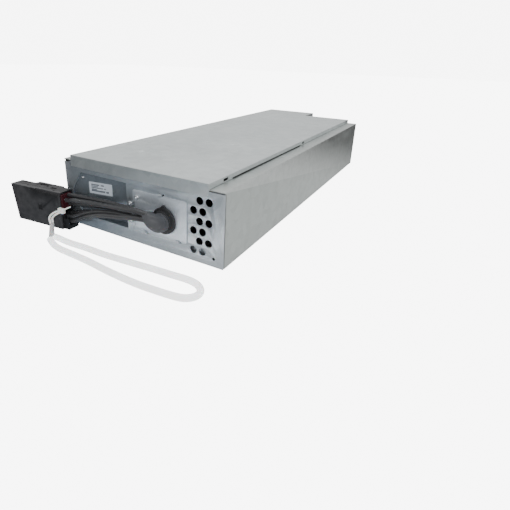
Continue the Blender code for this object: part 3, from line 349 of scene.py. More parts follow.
@dataclass(frozen=True)
class Finish:
    """A surface's colour, gloss and texture.

    Attributes:
        name: the material's name.
        light: the colour at the top of the tone range.
        dark: the colour at the bottom of it.
        rough: the least and most roughness.
        scales: values of the texture group's inputs, in their order.
        bump: the bump's depth in metres.
        surface: the texture group.
        metallic: 1 for bare metal.
        worn: the colour of rubbed edges, or None.
        coat: the weight of a clear coat.
        transmission: how much light passes.
        subsurface: how much light spreads inside.
        glow: how much light it gives off, standing for light that passes through it.
    """

    name: str
    light: Colour
    dark: Colour
    rough: Pair
    scales: tuple[float, ...]
    bump: float
    surface: Surface = Surface.MOULDED
    metallic: float = 0.0
    worn: Colour | None = None
    coat: float = 0.0
    transmission: float = 0.0
    subsurface: float = 0.0
    glow: float = 0.0

    def material(self) -> bpy.types.Material:
        """Builds the material, or returns the one already built."""
        known = bpy.data.materials.get(self.name)
        if known:
            return known
        made = bpy.data.materials.new(self.name)
        made.use_nodes = True
        tree = Tree(made.node_tree)
        group, inputs = self.surface.value
        scales = dict(zip(inputs, self.scales))
        texture = tree.add("Group", scales, node_tree=bpy.data.node_groups[group]).outputs
        colour = tree.ramp(texture["Tone"], (0.3, self.dark), (0.7, self.light))
        if self.worn:
            wear = tree.add("Group", node_tree=bpy.data.node_groups["edge_wear"]).outputs["Wear"]
            mix = {"Factor": wear, 6: colour, 7: (*self.worn, 1)}
            colour = tree.add("Mix", mix, data_type="RGBA").outputs[2]
        bump = {"Strength": 1.0, "Distance": self.bump, "Height": texture["Height"]}
        lit = {"Emission Color": colour, "Emission Strength": self.glow} if self.glow else {}
        shader = tree.add("BsdfPrincipled", {
            "Base Color": colour,
            "Metallic": self.metallic,
            "Roughness": tree.map_range(texture["Gloss"], (0.3, 0.7), self.rough),
            "Normal": tree.add("Bump", bump).outputs[0],
            "Coat Weight": self.coat,
            "Transmission Weight": self.transmission,
            "Subsurface Weight": self.subsurface,
            "Subsurface Scale": 0.004,
            "Specular IOR Level": 0.5,
            **lit,
        })
        tree.add("OutputMaterial", {"Surface": shader.outputs[0]})
        return made


SHEET_SCALES = (110.0, 11.0, 900.0)
COVER_ZINC = Finish(
    "cover_zinc", (0.80, 0.85, 0.85), (0.68, 0.73, 0.735), (0.28, 0.38), SHEET_SCALES, 0.000012,
    Surface.ZINC, 0.85, (0.80, 0.83, 0.83),
)
TRAY_ZINC = Finish(
    "tray_zinc", (0.55, 0.59, 0.575), (0.46, 0.50, 0.485), (0.28, 0.40), SHEET_SCALES, 0.000014,
    Surface.ZINC, 0.92, (0.78, 0.80, 0.79),
)
PANEL_ZINC = Finish(
    "panel_zinc", (0.60, 0.65, 0.69), (0.50, 0.55, 0.59), (0.30, 0.40), SHEET_SCALES, 0.000012,
    Surface.ZINC, 0.85, (0.74, 0.79, 0.84),
)
PLATE_ZINC = Finish(
    "plate_zinc", (0.72, 0.78, 0.84), (0.62, 0.68, 0.74), (0.34, 0.44), SHEET_SCALES, 0.000012,
    Surface.ZINC, 0.70, (0.82, 0.87, 0.92),
)
# Zinc of the lead pocket, darker than the panel's zinc: painted shade of the recess.
POCKET_ZINC_PAINTED_SHADE = Finish(
    "pocket_zinc_painted_shade", (0.34, 0.39, 0.43), (0.26, 0.30, 0.34), (0.34, 0.46), SHEET_SCALES, 0.000012,
    Surface.ZINC, 0.80,
)
SCREW_ZINC = Finish(
    "screw_zinc", (0.78, 0.80, 0.82), (0.62, 0.64, 0.66), (0.16, 0.28), (500.0, 90.0, 3000.0), 0.000006,
    Surface.ZINC, 1.0,
)
TINNED_COPPER = Finish(
    "tinned_copper", (0.80, 0.76, 0.70), (0.66, 0.61, 0.54), (0.22, 0.36), (600.0, 120.0, 2500.0), 0.000008,
    Surface.ZINC, 1.0,
)
GLAND_RUBBER = Finish(
    "gland_rubber", (0.020, 0.021, 0.024), (0.012, 0.013, 0.015), (0.42, 0.58), (2400.0, 130.0), 0.00003
)
# Rubber of the boot: its own tone is lighter than the gland's, and it is raised further by painted light from the
# front and top.
BOOT_RUBBER = Finish(
    "boot_rubber", (0.074, 0.078, 0.087), (0.050, 0.053, 0.060), (0.38, 0.54), (1700.0, 80.0), 0.00004
)
# Black jacket of the leads, its tone raised by painted light from the front and top.
LEAD_JACKET = Finish(
    "lead_jacket", (0.056, 0.058, 0.062), (0.032, 0.033, 0.036), (0.28, 0.42), (1500.0, 110.0, 0.15), 0.000025
)
SHELL_PLASTIC = Finish(
    "shell_plastic", (0.019, 0.019, 0.021), (0.012, 0.012, 0.0135), (0.38, 0.52), (2600.0, 90.0), 0.00003,
    worn=(0.07, 0.07, 0.075),
)
RED_PLASTIC = Finish(
    "red_plastic", (0.070, 0.008, 0.014), (0.042, 0.006, 0.010), (0.36, 0.50), (2600.0, 150.0), 0.00002
)
BLACK_PLASTIC = Finish(
    "black_plastic", (0.014, 0.014, 0.016), (0.009, 0.009, 0.010), (0.36, 0.50), (2600.0, 150.0), 0.00002
)
CASE_PLASTIC = Finish(
    "case_plastic", (0.045, 0.046, 0.050), (0.028, 0.029, 0.032), (0.45, 0.62), (900.0, 40.0), 0.00006
)
# The tie's glow is painted light, standing for light that passes through the nylon.
NYLON = Finish(
    "tie_nylon", (0.84, 0.84, 0.81), (0.72, 0.72, 0.69), (0.28, 0.40), (1500.0, 200.0), 0.00001,
    subsurface=0.25, glow=0.25,
)
SLEEVE = Finish(
    "collar_sleeve", (0.62, 0.62, 0.63), (0.46, 0.46, 0.48), (0.30, 0.45), (900.0, 260.0), 0.00003,
    subsurface=0.2,
)
# The loop's glow is painted light, standing for light that passes through the vinyl tube.
VINYL = Finish(
    "loop_vinyl", (0.97, 0.975, 0.98), (0.92, 0.93, 0.94), (0.22, 0.34), (700.0, 70.0), 0.00002,
    transmission=0.50, subsurface=0.3, coat=0.10, glow=0.8,
)
LABEL_FILM = Finish(
    "label_film", (0.66, 0.73, 0.81), (0.58, 0.65, 0.73), (0.40, 0.55), (1200.0, 160.0), 0.00001
)
LABEL_INK = Finish(
    "label_ink", (0.16, 0.19, 0.23), (0.11, 0.13, 0.16), (0.45, 0.60), (2200.0, 400.0), 0.00001
)
FOAM = Finish("foam_strip", (0.09, 0.09, 0.10), (0.05, 0.05, 0.055), (0.85, 0.95), (500.0, 60.0), 0.0003)
FISH_PAPER = Finish(
    "fish_paper", (0.58, 0.53, 0.42), (0.48, 0.43, 0.33), (0.70, 0.85), (1100.0, 60.0), 0.00005
)
CERAMIC = Finish(
    "fuse_ceramic", (0.70, 0.68, 0.63), (0.60, 0.58, 0.53), (0.35, 0.50), (1400.0, 80.0), 0.00002
)


# ---------------------------------------------------------------------------------------------
# Making meshes


def link(obj: Obj, finish: Finish, node: str, body: str = ROOT, replaces: bool = True) -> Obj:
    """Puts a piece in the scene, gives it a finish and lets it ride on a body.

    Args:
        obj: the new piece.
        finish: its finish.
        node: the CAD node whose material slot it takes.
        body: the CAD body.
        replaces: whether it takes the node's place, or is one more piece beside it.

    Returns:
        The piece.
    """
    objects = bpy.context.scene.collection.objects
    if obj.name not in objects:
        objects.link(obj)
    obj.data.materials.clear()
    obj.data.materials.append(finish.material())
    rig.ride(obj, body)
    if replaces:
        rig.replaces(obj, node)
    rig.slot(obj, node)
    LOG.info("%s rides on %s", obj.name, body)
    return obj


def opened(mesh: bpy.types.Mesh) -> Shape:
    """A mesh's shape, open for editing."""
    shape = bmesh.new()
    shape.from_mesh(mesh)
    return shape


def write_shape(shape: Shape, mesh: bpy.types.Mesh, angle: float = SHARP_ANGLE) -> None:
    """Puts a shape in a mesh, where edges sharper than the angle, in degrees, stay sharp."""
    shape.to_mesh(mesh)
    shape.free()
    mesh.shade_smooth()
    mesh.set_sharp_from_angle(angle=math.radians(angle))


def evaluated_mesh(obj: Obj) -> bpy.types.Mesh:
    """An object's mesh with its modifiers or its curve's thickness applied."""
    return bpy.data.meshes.new_from_object(obj.evaluated_get(bpy.context.evaluated_depsgraph_get()))


def mesh_object(name: str, build: Callable[[Shape], object], angle: float = 40.0) -> Obj:
    """An object with the mesh that a function fills.

    Args:
        name: the object's name.
        build: fills the mesh.
        angle: edges sharper than this, in degrees, stay sharp.

    Returns:
        The object, not yet in the scene.
    """
    mesh = bpy.data.meshes.new(name)
    shape = bmesh.new()
    build(shape)
    bmesh.ops.recalc_face_normals(shape, faces=shape.faces)
    write_shape(shape, mesh, angle)
    return bpy.data.objects.new(name, mesh)


def add_bevel(obj: Obj, width: float, segments: int = 3, angle: float = 35.0) -> None:
    """Rounds an object's sharp edges.

    Args:
        obj: the object.
        width: how wide the rounding is.
        segments: how many faces it has.
        angle: only edges sharper than this are rounded, in degrees.
    """
    step = obj.modifiers.new("round", "BEVEL")
    step.width = width
    step.segments = segments
    step.limit_method = "ANGLE"
    step.angle_limit = math.radians(angle)
    step.use_clamp_overlap = True
    flat = obj.modifiers.new("even", "WEIGHTED_NORMAL")
    flat.keep_sharp = True
    flat.weight = 90


def cut_with(obj: Obj, cutter: Obj) -> None:
    """Cuts one object out of another and removes the cutter."""
    objects = bpy.context.scene.collection.objects
    for each in (obj, cutter):
        if each.name not in objects:
            objects.link(each)
    step = obj.modifiers.new("cut", "BOOLEAN")
    step.operation = "DIFFERENCE"
    step.solver = "EXACT"
    step.use_self = True
    step.object = cutter
    bpy.context.view_layer.update()
    result = evaluated_mesh(obj)
    obj.modifiers.clear()
    obj.data = result
    result.shade_smooth()
    result.set_sharp_from_angle(angle=math.radians(SHARP_ANGLE))
    bpy.data.objects.remove(cutter)


def copy_of(node: str) -> Obj:
    """A copy of a CAD node with its flat faces whole again, ready for rounded edges.

    Args:
        node: the CAD node.

    Returns:
        The copy, not yet in the scene.
    """
    mesh = frame["nodes"][node].data.copy()
    mesh.name = f"{node}_fine"
    shape = opened(mesh)
    bmesh.ops.remove_doubles(shape, verts=shape.verts, dist=MERGE_DISTANCE)
    bmesh.ops.dissolve_limit(shape, angle_limit=math.radians(1), verts=shape.verts, edges=shape.edges)
    write_shape(shape, mesh)
    return bpy.data.objects.new(f"{node}_fine", mesh)


def refine(node: str, finish: Finish, width: float, segments: int = 3) -> Obj:
    """Replaces a CAD node by a copy with rounded edges.

    Args:
        node: the CAD node.
        finish: its finish.
        width: how wide the rounding is.
        segments: how many faces the rounding has.

    Returns:
        The new piece.
    """
    obj = copy_of(node)
    add_bevel(obj, width, segments)
    return link(obj, finish, node)


def blocks(name: str, spans: Iterable[tuple[Vector, Vector]]) -> Obj:
    """An object of blocks, each given by its corners."""

    def build(shape: Shape) -> None:
        """Adds each block."""
        for low, high in spans:
            place = Matrix.Translation((low + high) / 2) @ Matrix.Diagonal((*(high - low), 1))
            bmesh.ops.create_cube(shape, size=1, matrix=place)

    return mesh_object(name, build)


def circle(x: float, z: float, radius: float, sides: int = 40) -> Outline:
    """A round outline."""
    turns = (2 * math.pi * i / sides for i in range(sides))
    return [(x + radius * math.cos(a), z + radius * math.sin(a)) for a in turns]


def rectangle(left: float, right: float, bottom: float, top: float, radius: float = 0.0) -> Outline:
    """A rectangle's outline, with round corners where a radius is given."""
    if radius <= 0:
        return [(right, top), (left, top), (left, bottom), (right, bottom)]
    outline: Outline = []
    middle = ((left + right) / 2, (bottom + top) / 2)
    for quarter, (x, z) in enumerate(((right, top), (left, top), (left, bottom), (right, bottom))):
        cx = x - math.copysign(radius, x - middle[0])
        cz = z - math.copysign(radius, z - middle[1])
        for i in range(7):
            a = math.pi / 2 * (quarter + i / 6)
            outline.append((cx + radius * math.cos(a), cz + radius * math.sin(a)))
    return outline


def sheet_metal(
    name: str, outlines: Sequence[Outline], front: float, back: float, edge: float = 0.00012
) -> Obj:
    """A flat plate in the XZ plane with holes, its edges slightly rounded.

    Args:
        name: the object's name.
        outlines: the outer outline, then those of the holes, as (x, z).
        front: the depth of its front face.
        back: the depth of its back face.
        edge: the radius of its edges.

    Returns:
        The object, not yet in the scene.
    """
    curve = bpy.data.curves.new(name, "CURVE")
    curve.dimensions = "2D"
    curve.fill_mode = "BOTH"
    curve.extrude = (back - front) / 2 - edge
    curve.bevel_depth = edge
    curve.bevel_resolution = 1
    curve.offset = -edge
    for outline in outlines:
        spline = curve.splines.new("POLY")
        spline.points.add(len(outline) - 1)
        for point, (x, z) in zip(spline.points, outline):
            point.co = (x, z, 0, 1)
        spline.use_cyclic_u = True
    guide = bpy.data.objects.new(name, curve)
    bpy.context.scene.collection.objects.link(guide)
    mesh = evaluated_mesh(guide)
    bpy.data.objects.remove(guide)
    mesh.transform(Matrix.Translation(at(0, (front + back) / 2, 0)) @ Matrix.Rotation(math.pi / 2, 4, "X"))
    shape = opened(mesh)
    bmesh.ops.remove_doubles(shape, verts=shape.verts, dist=MERGE_DISTANCE)
    bmesh.ops.recalc_face_normals(shape, faces=shape.faces)
    write_shape(shape, mesh)
    return bpy.data.objects.new(name, mesh)


def bent_strip(name: str, line: Sequence[Pair], x: float, width: float, thick: float) -> Obj:
    """A strip of sheet bent in the YZ plane.

    Args:
        name: the object's name.
        line: its middle line, as (depth, z).
        x: the middle of its width.
        width: its width along X.
        thick: its thickness.

    Returns:
        The object, not yet in the scene.
    """
    points = [Vector(p) for p in line]
    sides: list[Vector] = []
    for i, point in enumerate(points):
        before, after = points[max(i - 1, 0)], points[min(i + 1, len(points) - 1)]
        along = (after - before).normalized()
        sides.append(Vector((-along.y, along.x)) * thick / 2)
    outline = [p + s for p, s in zip(points, sides)] + [p - s for p, s in reversed(list(zip(points, sides)))]
    rings = [[at(x + side * width / 2, p.x, p.y) for p in outline] for side in (-1, 1)]
    strip = skin(name, rings, 40.0)
    add_bevel(strip, thick * 0.15, 2)
    return strip


def lathe(
    name: str, profile: Sequence[Pair], place: Vector, forward: Vector, steps: int = 64
) -> Obj:
    """A turned piece.

    Args:
        name: the object's name.
        profile: (radius, distance forward) from the front's middle to the back's.
        place: where its axis starts.
        forward: the axis's direction.
        steps: how many sides it has.

    Returns:
        The object, not yet in the scene.
    """
    turn = Vector((0, 0, 1)).rotation_difference(forward).to_matrix().to_4x4()
    frame_of = Matrix.Translation(place) @ turn

    def build(shape: Shape) -> None:
        """Turns the profile about the axis."""
        rings: list[list[bmesh.types.BMVert]] = []
        for radius, high in profile:
            count = steps if radius > 1e-7 else 1
            ring = [
                shape.verts.new(
                    frame_of @ Vector((radius * math.cos(2 * math.pi * i / steps),
                                       radius * math.sin(2 * math.pi * i / steps), high))
                )
                for i in range(count)
            ]
            rings.append(ring)
        for one, two in zip(rings, rings[1:]):
            for i in range(steps):
                j = (i + 1) % steps
                corners = [one[i % len(one)], one[j % len(one)], two[j % len(two)], two[i % len(two)]]
                unique = list(dict.fromkeys(corners))
                if len(unique) > 2:
                    shape.faces.new(unique)

    return mesh_object(name, build, 32)


def skin(name: str, rings: Sequence[Sequence[Vector]], angle: float = 60.0) -> Obj:
    """A closed skin through rings of as many points each.

    Args:
        name: the object's name.
        rings: the rings, each a closed row of points.
        angle: edges sharper than this stay sharp, in degrees.

    Returns:
        The object, not yet in the scene.
    """

    def build(shape: Shape) -> None:
        """Joins the rings and closes both ends."""
        rows = [[shape.verts.new(p) for p in ring] for ring in rings]
        count = len(rows[0])
        for one, two in zip(rows, rows[1:]):
            for i in range(count):
                j = (i + 1) % count
                shape.faces.new((one[i], one[j], two[j], two[i]))
        shape.faces.new(rows[0][::-1])
        shape.faces.new(rows[-1])

    return mesh_object(name, build, angle)


def spline_value(values: Sequence[Vector], share: float) -> Vector:
    """A smooth curve's value through a list of evenly spaced ones.

    Args:
        values: the values that it passes through.
        share: how far along it is, from 0 to 1.

    Returns:
        The value there.
    """
    spans = len(values) - 1
    place = min(share * spans, spans - 1e-9)
    i = int(place)
    t = place - i
    b, c = values[i], values[i + 1]
    a = values[i - 1] if i > 0 else 2 * b - c
    d = values[i + 2] if i + 2 < len(values) else 2 * c - b
    return 0.5 * (2 * b + (c - a) * t + (2 * a - 5 * b + 4 * c - d) * t**2 + (3 * b - 3 * c + d - a) * t**3)


def smooth_line(points: Sequence[Vector], spacing: float) -> list[Vector]:
    """Evenly spaced points on the smooth curve through a route.

    Args:
        points: the route's own points.
        spacing: the distance between the points that are returned.

    Returns:
        The points.
    """
    steps = 24 * (len(points) - 1)
    fine = [spline_value(points, i / steps) for i in range(steps + 1)]
    lengths = [0.0]
    for a, b in zip(fine, fine[1:]):
        lengths.append(lengths[-1] + (b - a).length)
    count = max(2, round(lengths[-1] / spacing))
    chosen: list[Vector] = []
    i = 0
    for k in range(count + 1):
        want = lengths[-1] * k / count
        while i < len(fine) - 2 and lengths[i + 1] < want:
            i += 1
        chosen.append(fine[i].lerp(fine[i + 1], (want - lengths[i]) / (lengths[i + 1] - lengths[i])))
    return chosen


def line_length(points: Sequence[Vector]) -> float:
    """The length of a line through points."""
    return sum((b - a).length for a, b in zip(points, points[1:]))


def tube(name: str, points: Sequence[Vector], diameter: float, sides: int = 7) -> Obj:
    """A curve with thickness along a line.

    Args:
        name: the object's name.
        points: the line.
        diameter: the tube's diameter.
        sides: the curve's bevel resolution.

    Returns:
        The object, not yet in the scene.
    """
    curve = bpy.data.curves.new(name, "CURVE")
    curve.dimensions = "3D"
    curve.bevel_depth = diameter / 2
    curve.bevel_resolution = sides
    curve.use_fill_caps = True
    spline = curve.splines.new("POLY")
    spline.points.add(len(points) - 1)
    for point, co in zip(spline.points, points):
        point.co = (*co, 1)
    spline.use_smooth = True
    return bpy.data.objects.new(name, curve)


# ---------------------------------------------------------------------------------------------
# Camera, light and floor


@dataclass
class Studio:
    """The camera, the pale floor and the soft light.

    Attributes:
        place: where the camera stands, as x, depth and z.
        azimuth: its angle to the right of the front, in degrees.
        elevation: its angle above the level, in degrees.
        roll: how far it leans, in degrees.
        lens: its focal length in millimetres.
        shift: how far the picture is shifted, in frame widths.
    """

    place: Point = (0.2691, -0.2838, 0.1913)
    azimuth: float = 30.10
    elevation: float = 20.14
    roll: float = 1.70
    lens: float = 27.415
    shift: Pair = (0.0640, -0.1071)

    def build(self) -> None:
        """Makes the camera, then the floor and the light."""
        self.camera()
        self.floor()
        self.light()

    def camera(self) -> None:
        """Makes the camera and gives it to the scene."""
        data = bpy.data.cameras.new("camera")
        data.sensor_width = 36.0
        data.lens = self.lens
        data.clip_start = 0.01
        data.shift_x, data.shift_y = self.shift
        camera = bpy.data.objects.new("camera", data)
        azimuth, elevation, roll = map(math.radians, (self.azimuth, self.elevation, self.roll))
        back = Vector((
            math.sin(azimuth) * math.cos(elevation), -math.cos(azimuth) * math.cos(elevation),
            math.sin(elevation),
        ))
        right = Vector((math.cos(azimuth), math.sin(azimuth), 0.0))
        up = back.cross(right)
        leaning_right = right * math.cos(roll) + up * math.sin(roll)
        leaning_up = up * math.cos(roll) - right * math.sin(roll)
        turn = Matrix((leaning_right, leaning_up, back)).transposed()
        camera.matrix_world = Matrix.Translation(at(*self.place)) @ turn.to_4x4()
        bpy.context.scene.collection.objects.link(camera)
        bpy.context.scene.camera = camera

    def floor(self) -> None:
        """Makes the floor: white to the eye, and, for glossy rays only, a painted reflection that the metal mirrors.
        """
        floor = mesh_object("studio_floor", lambda shape: bmesh.ops.create_grid(
            shape, x_segments=2, y_segments=2, size=6.0, matrix=Matrix.Translation((0, 0, -0.0002))
        ))
        bpy.context.scene.collection.objects.link(floor)
        material = bpy.data.materials.new("pale_floor")
        material.use_nodes = True
        tree = Tree(material.node_tree)
        place = tree.add("SeparateXYZ", {0: tree.add("NewGeometry").outputs["Position"]}).outputs
        # Painted reflection, for glossy rays only: dark blue-grey on the left, light on the right, and darker towards
        # the back.
        across = tree.map_range(place[0], (-0.26, 0.12), (0.0, 1.0))
        painted_reflection_greys = ((0.0, (0.05, 0.06, 0.07)), (1.0, (0.50, 0.60, 0.68)), (0.5, (0.22, 0.27, 0.32)))
        fade = tree.map_range(place[1], (0.10, 0.42), (0.86, 0.08))
        painted_reflection = tree.add("Emission", {"Color": tree.ramp(across, *painted_reflection_greys), "Strength": fade})
        lit = tree.add("BsdfDiffuse", {"Color": (0.90, 0.90, 0.90, 1)})
        plain = tree.mix_shaders(0.80, lit, tree.add("Emission", {"Strength": 1.0}))
        path = tree.add("LightPath").outputs
        direct = tree.maths("MAXIMUM", path["Is Camera Ray"], path["Is Transmission Ray"])
        bright = tree.add("Emission", {"Strength": FLOOR_GLOW})
        seen = tree.mix_shaders(tree.maths("MULTIPLY", direct, 0.85), plain, bright)
        choice = tree.mix_shaders(path["Is Glossy Ray"], seen, painted_reflection)
        tree.add("OutputMaterial", {"Surface": choice.outputs[0]})
        floor.data.materials.append(material)
        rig.stage(floor)

    def light(self) -> None:
        """Makes a pale sky, a broad lamp overhead and a weaker one at the front right."""
        world = bpy.data.worlds.new("studio_sky")
        world.use_nodes = True
        tree = Tree(world.node_tree)
        high = tree.add("SeparateXYZ", {0: tree.add("TexCoord").outputs["Generated"]}).outputs[2]
        strength = (SKY_LIGHT * 1.25, SKY_LIGHT * 0.55)
        fade = tree.map_range(high, (0.15, 0.80), strength, interpolation_type="SMOOTHSTEP")
        sky = tree.add("Background", {"Strength": fade})
        backdrop = tree.add("Background", {"Strength": FLOOR_GLOW})
        choice = tree.mix_shaders(tree.add("LightPath").outputs["Is Camera Ray"], sky, backdrop)
        tree.add("OutputWorld", {"Surface": choice.outputs[0]})
        bpy.context.scene.world = world
        for name, place, aim, size, power in (
            ("lamp_over", (-0.3, 0.5, 1.6), (0.0, 0.25, 0.0), 1.6, 22.0),
            ("lamp_front", (0.9, -1.0, 0.9), (0.0, 0.0, 0.03), 0.7, 7.0),
        ):
            data = bpy.data.lights.new(name, "AREA")
            data.size = size
            data.energy = power
            lamp = bpy.data.objects.new(name, data)
            lamp.location = at(*place)
            lamp.rotation_euler = (at(*aim) - at(*place)).to_track_quat("-Z", "Y").to_euler()
            bpy.context.scene.collection.objects.link(lamp)


# ---------------------------------------------------------------------------------------------
# The leads, the boot and the gland


@dataclass(frozen=True)
class Section:
    """One cross-section of the boot.

    Attributes:
        centre: its middle, as x, depth and z.
        wide: half its width.
        tall: half its height.
        turn: how far it has turned to the left, in degrees.
        roll: how far it leans, in degrees.
        square: 2 for an ellipse, more for squarer.
    """

    centre: Point
    wide: float
    tall: float
    turn: float
    roll: float
    square: float

    def axes(self) -> tuple[Vector, Vector]:
        """The directions of its width and its height."""
        turn, roll = math.radians(self.turn), math.radians(self.roll)
        level = Vector((math.cos(turn), -math.sin(turn), 0))
        up = Vector((0, 0, 1))
        return level * math.cos(roll) + up * math.sin(roll), up * math.cos(roll) - level * math.sin(roll)


@dataclass
class Gland:
    """The rubber gland in the front and the boot that turns the leads to the left.

    Attributes:
        x: the gland's middle.
        z: the gland's height.
        flange: its flange's radius.
        hub: its hub's radius.
        flange_depths: the flange's back and front.
        hub_front: the hub's front.
        tab: half the width and the height of its pointed tab.
        sections: the boot's cross-sections.
        sides: how many points a section has.
        rings: how many rings the boot has.
        lip: the thickness of the boot's wall at its mouth.
        recess: how deep its mouth is.
    """

    x: float = 0.0388
    z: float = 0.0360
    flange: float = 0.0142
    hub: float = 0.0110
    flange_depths: Pair = (-0.0018, -0.0043)
    hub_front: float = -0.0068
    tab: Pair = (0.0042, 0.0040)
    sections: tuple[Section, ...] = (
        Section((0.0388, -0.0071, 0.0360), 0.0100, 0.0100, 0, 0, 2.0),
        Section((0.0388, -0.0100, 0.0361), 0.0099, 0.0099, 13, 3, 2.0),
        Section((0.0381, -0.0134, 0.0370), 0.0094, 0.0094, 37, 9, 2.2),
        Section((0.0362, -0.0157, 0.0385), 0.0090, 0.0086, 60, 15, 2.4),
        Section((0.0341, -0.0166, 0.0403), 0.0088, 0.0076, 78, 20, 2.7),
        Section((0.0320, -0.0162, 0.0421), 0.0086, 0.0066, 90, 22.8, 3.0),
    )
    sides: int = 72
    rings: int = 96
    lip: float = 0.0008
    recess: float = 0.0030

    def build(self) -> None:
        """Makes the gland and the boot."""
        self.gland()
        self.boot()

    def gland(self) -> None:
        """The turned flange and hub with a pointed tab, and the neck through the panel."""
        back, front = self.flange_depths
        e = 0.0004
        f, h = self.flange, self.hub
        profile = [
            (0.0, -self.hub_front), (h - 3 * e, -self.hub_front), (h - 1.2 * e, -self.hub_front - 0.4 * e),
            (h - 0.3 * e, -self.hub_front - 1.3 * e), (h, -self.hub_front - 2.6 * e),
            (h, -front + 1.2 * e), (h + 0.3 * e, -front + 0.3 * e), (h + 1.2 * e, -front),
            (f - 2.6 * e, -front), (f - 1.0 * e, -front - 0.4 * e), (f - 0.2 * e, -front - 1.4 * e),
            (f, -front - 2.6 * e), (f, -back + 1.5 * e), (f - 0.5 * e, -back + 0.3 * e), (f - 1.4 * e, -back),
            (0.0100, -back), (0.0100, -0.0013), (0.0118 - e, -0.0013), (0.0118, -0.0013 - e),
            (0.0118, -0.0033 + e), (0.0118 - e, -0.0033), (0.0, -0.0033),
        ]
        body = lathe("cable_gland_fine", profile, at(self.x, 0, self.z), Vector((0, -1, 0)), 96)
        half, high = self.tab
        foot = self.z + self.flange * 0.88
        tip = foot + high + self.flange * 0.02
        outline = [
            (self.x - half, foot), (self.x + half, foot), (self.x + half * 0.62, foot + high * 0.55),
            (self.x + half * 0.22, tip - 0.0003), (self.x, tip), (self.x - half * 0.22, tip - 0.0003),
            (self.x - half * 0.62, foot + high * 0.55),
        ]
        tab = sheet_metal("cable_gland_tab", [outline], front + 0.0002, back - 0.0001, 0.0003)
        link(tab, GLAND_RUBBER, "cable_gland", replaces=False)
        link(body, GLAND_RUBBER, "cable_gland")

    def ring(self, share: float, shrink: float = 0.0, push: float = 0.0) -> list[Vector]:
        """A ring of the boot.

        Args:
            share: how far along the boot it is, from 0 to 1.
            shrink: how much smaller each half size is.
            push: how far it is moved back into the mouth.

        Returns:
            The ring's points.
        """
        centre = spline_value([Vector(s.centre) for s in self.sections], share)
        size = spline_value([Vector((s.wide, s.tall, s.square)) for s in self.sections], share)
        angle = spline_value([Vector((s.turn, s.roll, 0)) for s in self.sections], share)
        here = Section(tuple(centre), size.x, size.y, angle.x, angle.y, size.z)
        across, up = here.axes()
        out = across.cross(up)
        points: list[Vector] = []
        for i in range(self.sides):
            a = 2 * math.pi * i / self.sides
            wide = math.copysign(abs(math.cos(a)) ** (2 / here.square), math.cos(a))
            tall = math.copysign(abs(math.sin(a)) ** (2 / here.square), math.sin(a))
            fold = 0.00018 * math.sin(share * 34.0) * max(0.0, -math.cos(a)) * math.sin(math.pi * share)
            fold -= 0.00050 * math.exp(-(((share - 0.12) / 0.022) ** 2))
            fold -= 0.00040 * math.exp(-(((share - 0.90) / 0.020) ** 2))
            flat = across * (here.wide - shrink + fold) * wide + up * (here.tall - shrink + fold) * tall
            points.append(at(*(centre + flat + out * push)))
        return points

    def boot(self) -> None:
        """The soft sleeve, with faint folds inside its bend and an open mouth."""
        rings = [self.ring(i / self.rings) for i in range(self.rings + 1)]
        rings[-1] = self.ring(1.0, 0.0002)
        rings.append(self.ring(1.0, self.lip * 0.45, -0.0001))
        rings.append(self.ring(1.0, self.lip, 0.0001))
        rings.append(self.ring(1.0, self.lip * 1.1, self.recess))
        link(skin("cable_boot_fine", rings, 50), BOOT_RUBBER, "cable_boot")


@dataclass
class ConnectorFrame:
    """Where the connector stands.

    Attributes:
        place: its near mating corner, as x and depth.
        turn: how far it is turned from the front panel, in degrees.
    """

    place: Pair = (-0.1646, -0.0294)
    turn: float = 5.55

    def at(self, along: float, across: float, z: float) -> Vector:
        """A place in the connector's own frame, in the row frame."""
        c, s = math.cos(math.radians(self.turn)), math.sin(math.radians(self.turn))
        x, y = self.place
        return at(x + along * c - across * s, y + along * s + across * c, z)


